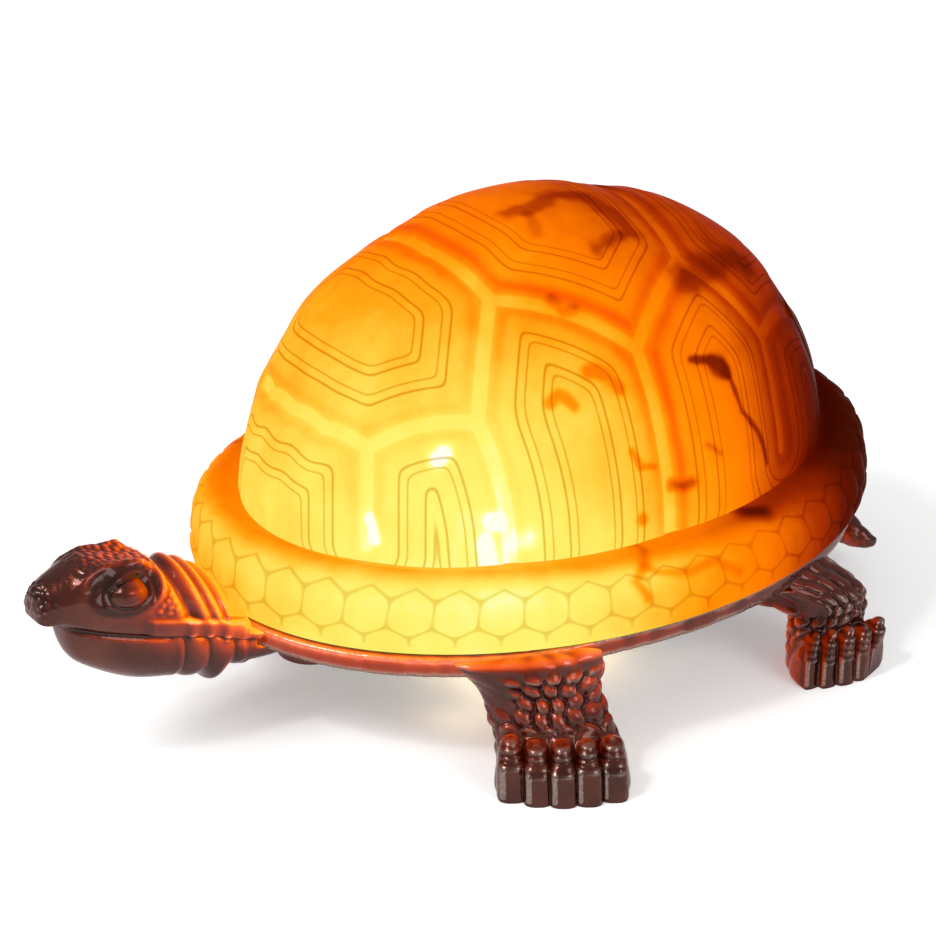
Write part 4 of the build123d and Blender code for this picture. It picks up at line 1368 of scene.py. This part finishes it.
# The glass's light on the castings is painted as a glow, stronger on crests and dark in hollows
spill_colour = bronze.ramp(bronze.number("spill") * hollow.step(0.05, -0.10, 0.9, 3.4), [
    (0.0, 0.0, 0.0, 0.0), (0.02, 0.02, 0.001, 0.0), (0.06, 0.13, 0.008, 0.0), (0.16, 0.45, 0.035, 0.0),
    (0.36, 0.90, 0.10, 0.0), (0.65, 1.0, 0.24, 0.002), (1.0, 1.0, 0.50, 0.02)])
bronze.set(
    Base_Color=bronze.blend(pit_and_shade * 0.85, worn, (0.012, 0.004, 0.003, 1.0)),
    Roughness=grain.step(0.3, 0.7, 0.20, 0.36), Metallic=0.8, Coat_Weight=0.5, Coat_Roughness=0.08,
    Specular_IOR_Level=0.25, Specular_Tint=(0.55, 0.32, 0.24, 1.0),
    Emission_Color=bronze.blend(pit_and_shade * 0.8, spill_colour, (0.0, 0.0, 0.0, 1.0)), Emission_Strength=1.0,
    Normal=bronze.bump(grain * 0.3 + dents, 0.35, 0.0005))
bronze.wear(*castings)
print("bronze on", [piece.name for piece in castings])

# %% [markdown]
# ## What stands under the glass
# With the carapace lifted, the lamp's works show: plated screws, a painted plate and bracket, a dark
# moulded socket with its brass shell, and a small clear bulb. They keep their CAD shapes and get the
# finish that such parts are bought in.

# %% Works
def worked_finish(name, dark, light, roughness, metallic, scale, grain_depth):
    """Finish that mottles between two colours, with grain in its gloss and surface."""
    finish = Finish(name)
    place = finish.place()
    mottle = finish.noise(place, scale, 5.0)
    fine = finish.noise(place, scale * 9, 3.0)
    finish.set(
        Base_Color=finish.ramp(mottle, [(0.32, *dark), (0.68, *light)]),
        Roughness=fine.step(0.3, 0.7, roughness * 0.8, roughness * 1.2), Metallic=metallic,
        Normal=finish.bump(fine, 0.3, grain_depth))
    return finish


def dress(finish, *names):
    finish.wear(*[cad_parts[name] for name in names])


# Each finish: its name, dark and light colours, roughness, metal, mottle scale, grain depth and nodes
works = [
    ("zinc_plate", (0.42, 0.42, 0.40), (0.62, 0.61, 0.56), 0.32, 1.0, 0.35, 0.0001,
     "leg_screws neck_screws tail_screw base_screws bracket_rivets nipple_nut hollow_nipple"),
    ("black_paint", (0.012, 0.012, 0.012), (0.030, 0.028, 0.026), 0.42, 0.0, 0.25, 0.0001,
     "base_plate socket_bracket"),
    ("dark_moulding", (0.020, 0.013, 0.010), (0.040, 0.027, 0.020), 0.35, 0.0, 0.2, 0.0001, "socket_body"),
    ("drawn_brass", (0.52, 0.33, 0.11), (0.74, 0.52, 0.22), 0.25, 1.0, 0.3, 0.0001,
     "socket_shell contact_spring bulb_cap"),
    ("solder", (0.36, 0.36, 0.36), (0.55, 0.55, 0.54), 0.4, 1.0, 0.8, 0.0001, "bulb_tip"),
    ("black_glass", (0.010, 0.010, 0.012), (0.022, 0.022, 0.026), 0.12, 0.0, 0.5, 0.0001, "bulb_insulator"),
    ("clear_rubber", (0.50, 0.49, 0.45), (0.62, 0.60, 0.55), 0.5, 0.0, 0.4, 0.0001, "shell_bumpers"),
    ("felt", (0.012, 0.011, 0.010), (0.050, 0.046, 0.042), 0.95, 0.0, 1.2, 0.0004,
     "front_left_pad front_right_pad rear_left_pad rear_right_pad"),
    ("black_rubber", (0.012, 0.012, 0.012), (0.028, 0.027, 0.026), 0.6, 0.0, 0.6, 0.0001, "cord_grommet"),
    ("black_sleeve", (0.014, 0.014, 0.015), (0.026, 0.026, 0.028), 0.4, 0.0, 0.3, 0.0001, "live_lead"),
    ("white_sleeve", (0.60, 0.59, 0.55), (0.72, 0.71, 0.67), 0.4, 0.0, 0.3, 0.0001, "neutral_lead"),
    ("nylon", (0.62, 0.58, 0.48), (0.74, 0.70, 0.60), 0.45, 0.0, 0.3, 0.0001, "wire_connectors"),
]
for *settings, names in works:
    dress(worked_finish(*settings), *names.split())
print("works dressed")

# %% Bulb
bulb_glass = Finish("bulb_glass")
bulb_haze = bulb_glass.noise(bulb_glass.place(), 0.12, 3.0)
bulb_glass.set(
    Base_Color=(1.0, 0.93, 0.78, 1.0), Roughness=0.06, Alpha=bulb_haze.step(0.3, 0.7, 0.32, 0.5),
    Emission_Color=bulb_glass.ramp(bulb_haze, [(0.3, 1.0, 0.74, 0.34), (0.7, 1.0, 0.84, 0.5)]),
    Emission_Strength=1.0)
dress(bulb_glass, "bulb_glass")
stem_glass = Finish("stem_glass")
stem_haze = stem_glass.noise(stem_glass.place(), 0.5, 3.0)
stem_glass.set(Base_Color=(0.92, 0.94, 0.94, 1.0), Roughness=0.1, Alpha=stem_haze.step(0.3, 0.7, 0.35, 0.55))
dress(stem_glass, "bulb_stem")
filament = Finish("hot_tungsten")
filament_heat = filament.noise(filament.place(), 0.8, 2.0)
filament.set(
    Base_Color=(0.3, 0.2, 0.1, 1.0), Roughness=0.5,
    Emission_Color=filament.ramp(filament_heat, [(0.3, 1.0, 0.72, 0.30), (0.7, 1.0, 0.86, 0.55)]),
    Emission_Strength=6.0)
dress(filament, "bulb_filament")
print("bulb dressed")

# %% [markdown]
# ## Floor and light
# The floor is white paper under plain soft light. One small warm lamp under the tray stands in for the
# light that leaves the plate's slots. What the glass spills on the bronze needs no lamp, because it is
# the number that was kept on each casting.

# %% Floor
floor_half_size = 6000
floor_glow = 0.3
sky_strength = 0.55
seen_sky_strength = 0.86
floor_mesh = bmesh.new()
bmesh.ops.create_grid(floor_mesh, x_segments=1, y_segments=1, size=floor_half_size)
floor_data = bpy.data.meshes.new("floor")
floor_mesh.to_mesh(floor_data)
floor_mesh.free()
floor_data.transform(TO_FRAME)
floor = link_object("floor", floor_data)
paper = Finish("paper")
seen_ray = paper.node("ShaderNodeLightPath", output="Is Camera Ray")
seen_ray = seen_ray + paper.node("ShaderNodeLightPath", output="Is Glossy Ray")
paper_lift = paper.ramp(seen_ray, [(0.0, 0.0, 0.0, 0.0), (1.0, 1.0, 1.0, 1.0)])
paper.set(
    Base_Color=(0.95, 0.95, 0.95, 1.0), Roughness=0.9, Emission_Color=paper_lift,
    Emission_Strength=floor_glow)
paper.wear(floor)

world = bpy.data.worlds.new("studio")
bpy.context.scene.world = world
world.use_nodes = True
world.node_tree.nodes["Background"].inputs["Color"].default_value = (1.0, 1.0, 1.0, 1.0)
sky = world.node_tree
sky_ray = sky.nodes.new("ShaderNodeLightPath")
sky_level = sky.nodes.new("ShaderNodeMapRange")
sky_level.inputs["To Min"].default_value = sky_strength
sky_level.inputs["To Max"].default_value = seen_sky_strength
sky.links.new(sky_ray.outputs["Is Camera Ray"], sky_level.inputs["Value"])
sky.links.new(sky_level.outputs["Result"], sky.nodes["Background"].inputs["Strength"])


# %% Lamps
def soft_lamp(name, place, size, power, aim=(0, 0, 0), colour=(1.0, 1.0, 1.0)):
    """Square lamp that faces the aim; places are in metres."""
    data = bpy.data.lights.new(name, "AREA")
    data.size = size
    data.energy = power
    data.color = colour
    lamp = link_object(name, data)
    lamp.location = place
    lamp.rotation_euler = (Vector(aim) - Vector(place)).to_track_quat("-Z", "Y").to_euler()
    lamp.visible_camera = False


soft_lamp("key_lamp", (-0.1, -0.8, 0.95), 0.42, 6.0)
soft_lamp("glint_lamp", (0.02, -0.66, 1.0), 0.08, 1.3)
soft_lamp("fill_lamp", (0.9, 0.25, 0.6), 0.5, 3.0)
vent_size = 70.0
vent_place = TO_FRAME @ Vector(slot_place)
soft_lamp("vent_spill", vent_place, vent_size * MM, 0.06, (vent_place.x, vent_place.y, 0), (1.0, 0.80, 0.50))
bpy.context.scene.view_settings.view_transform = "Standard"
print("floor and lamps ready")

# %% Finish
bpy.context.view_layer.update()
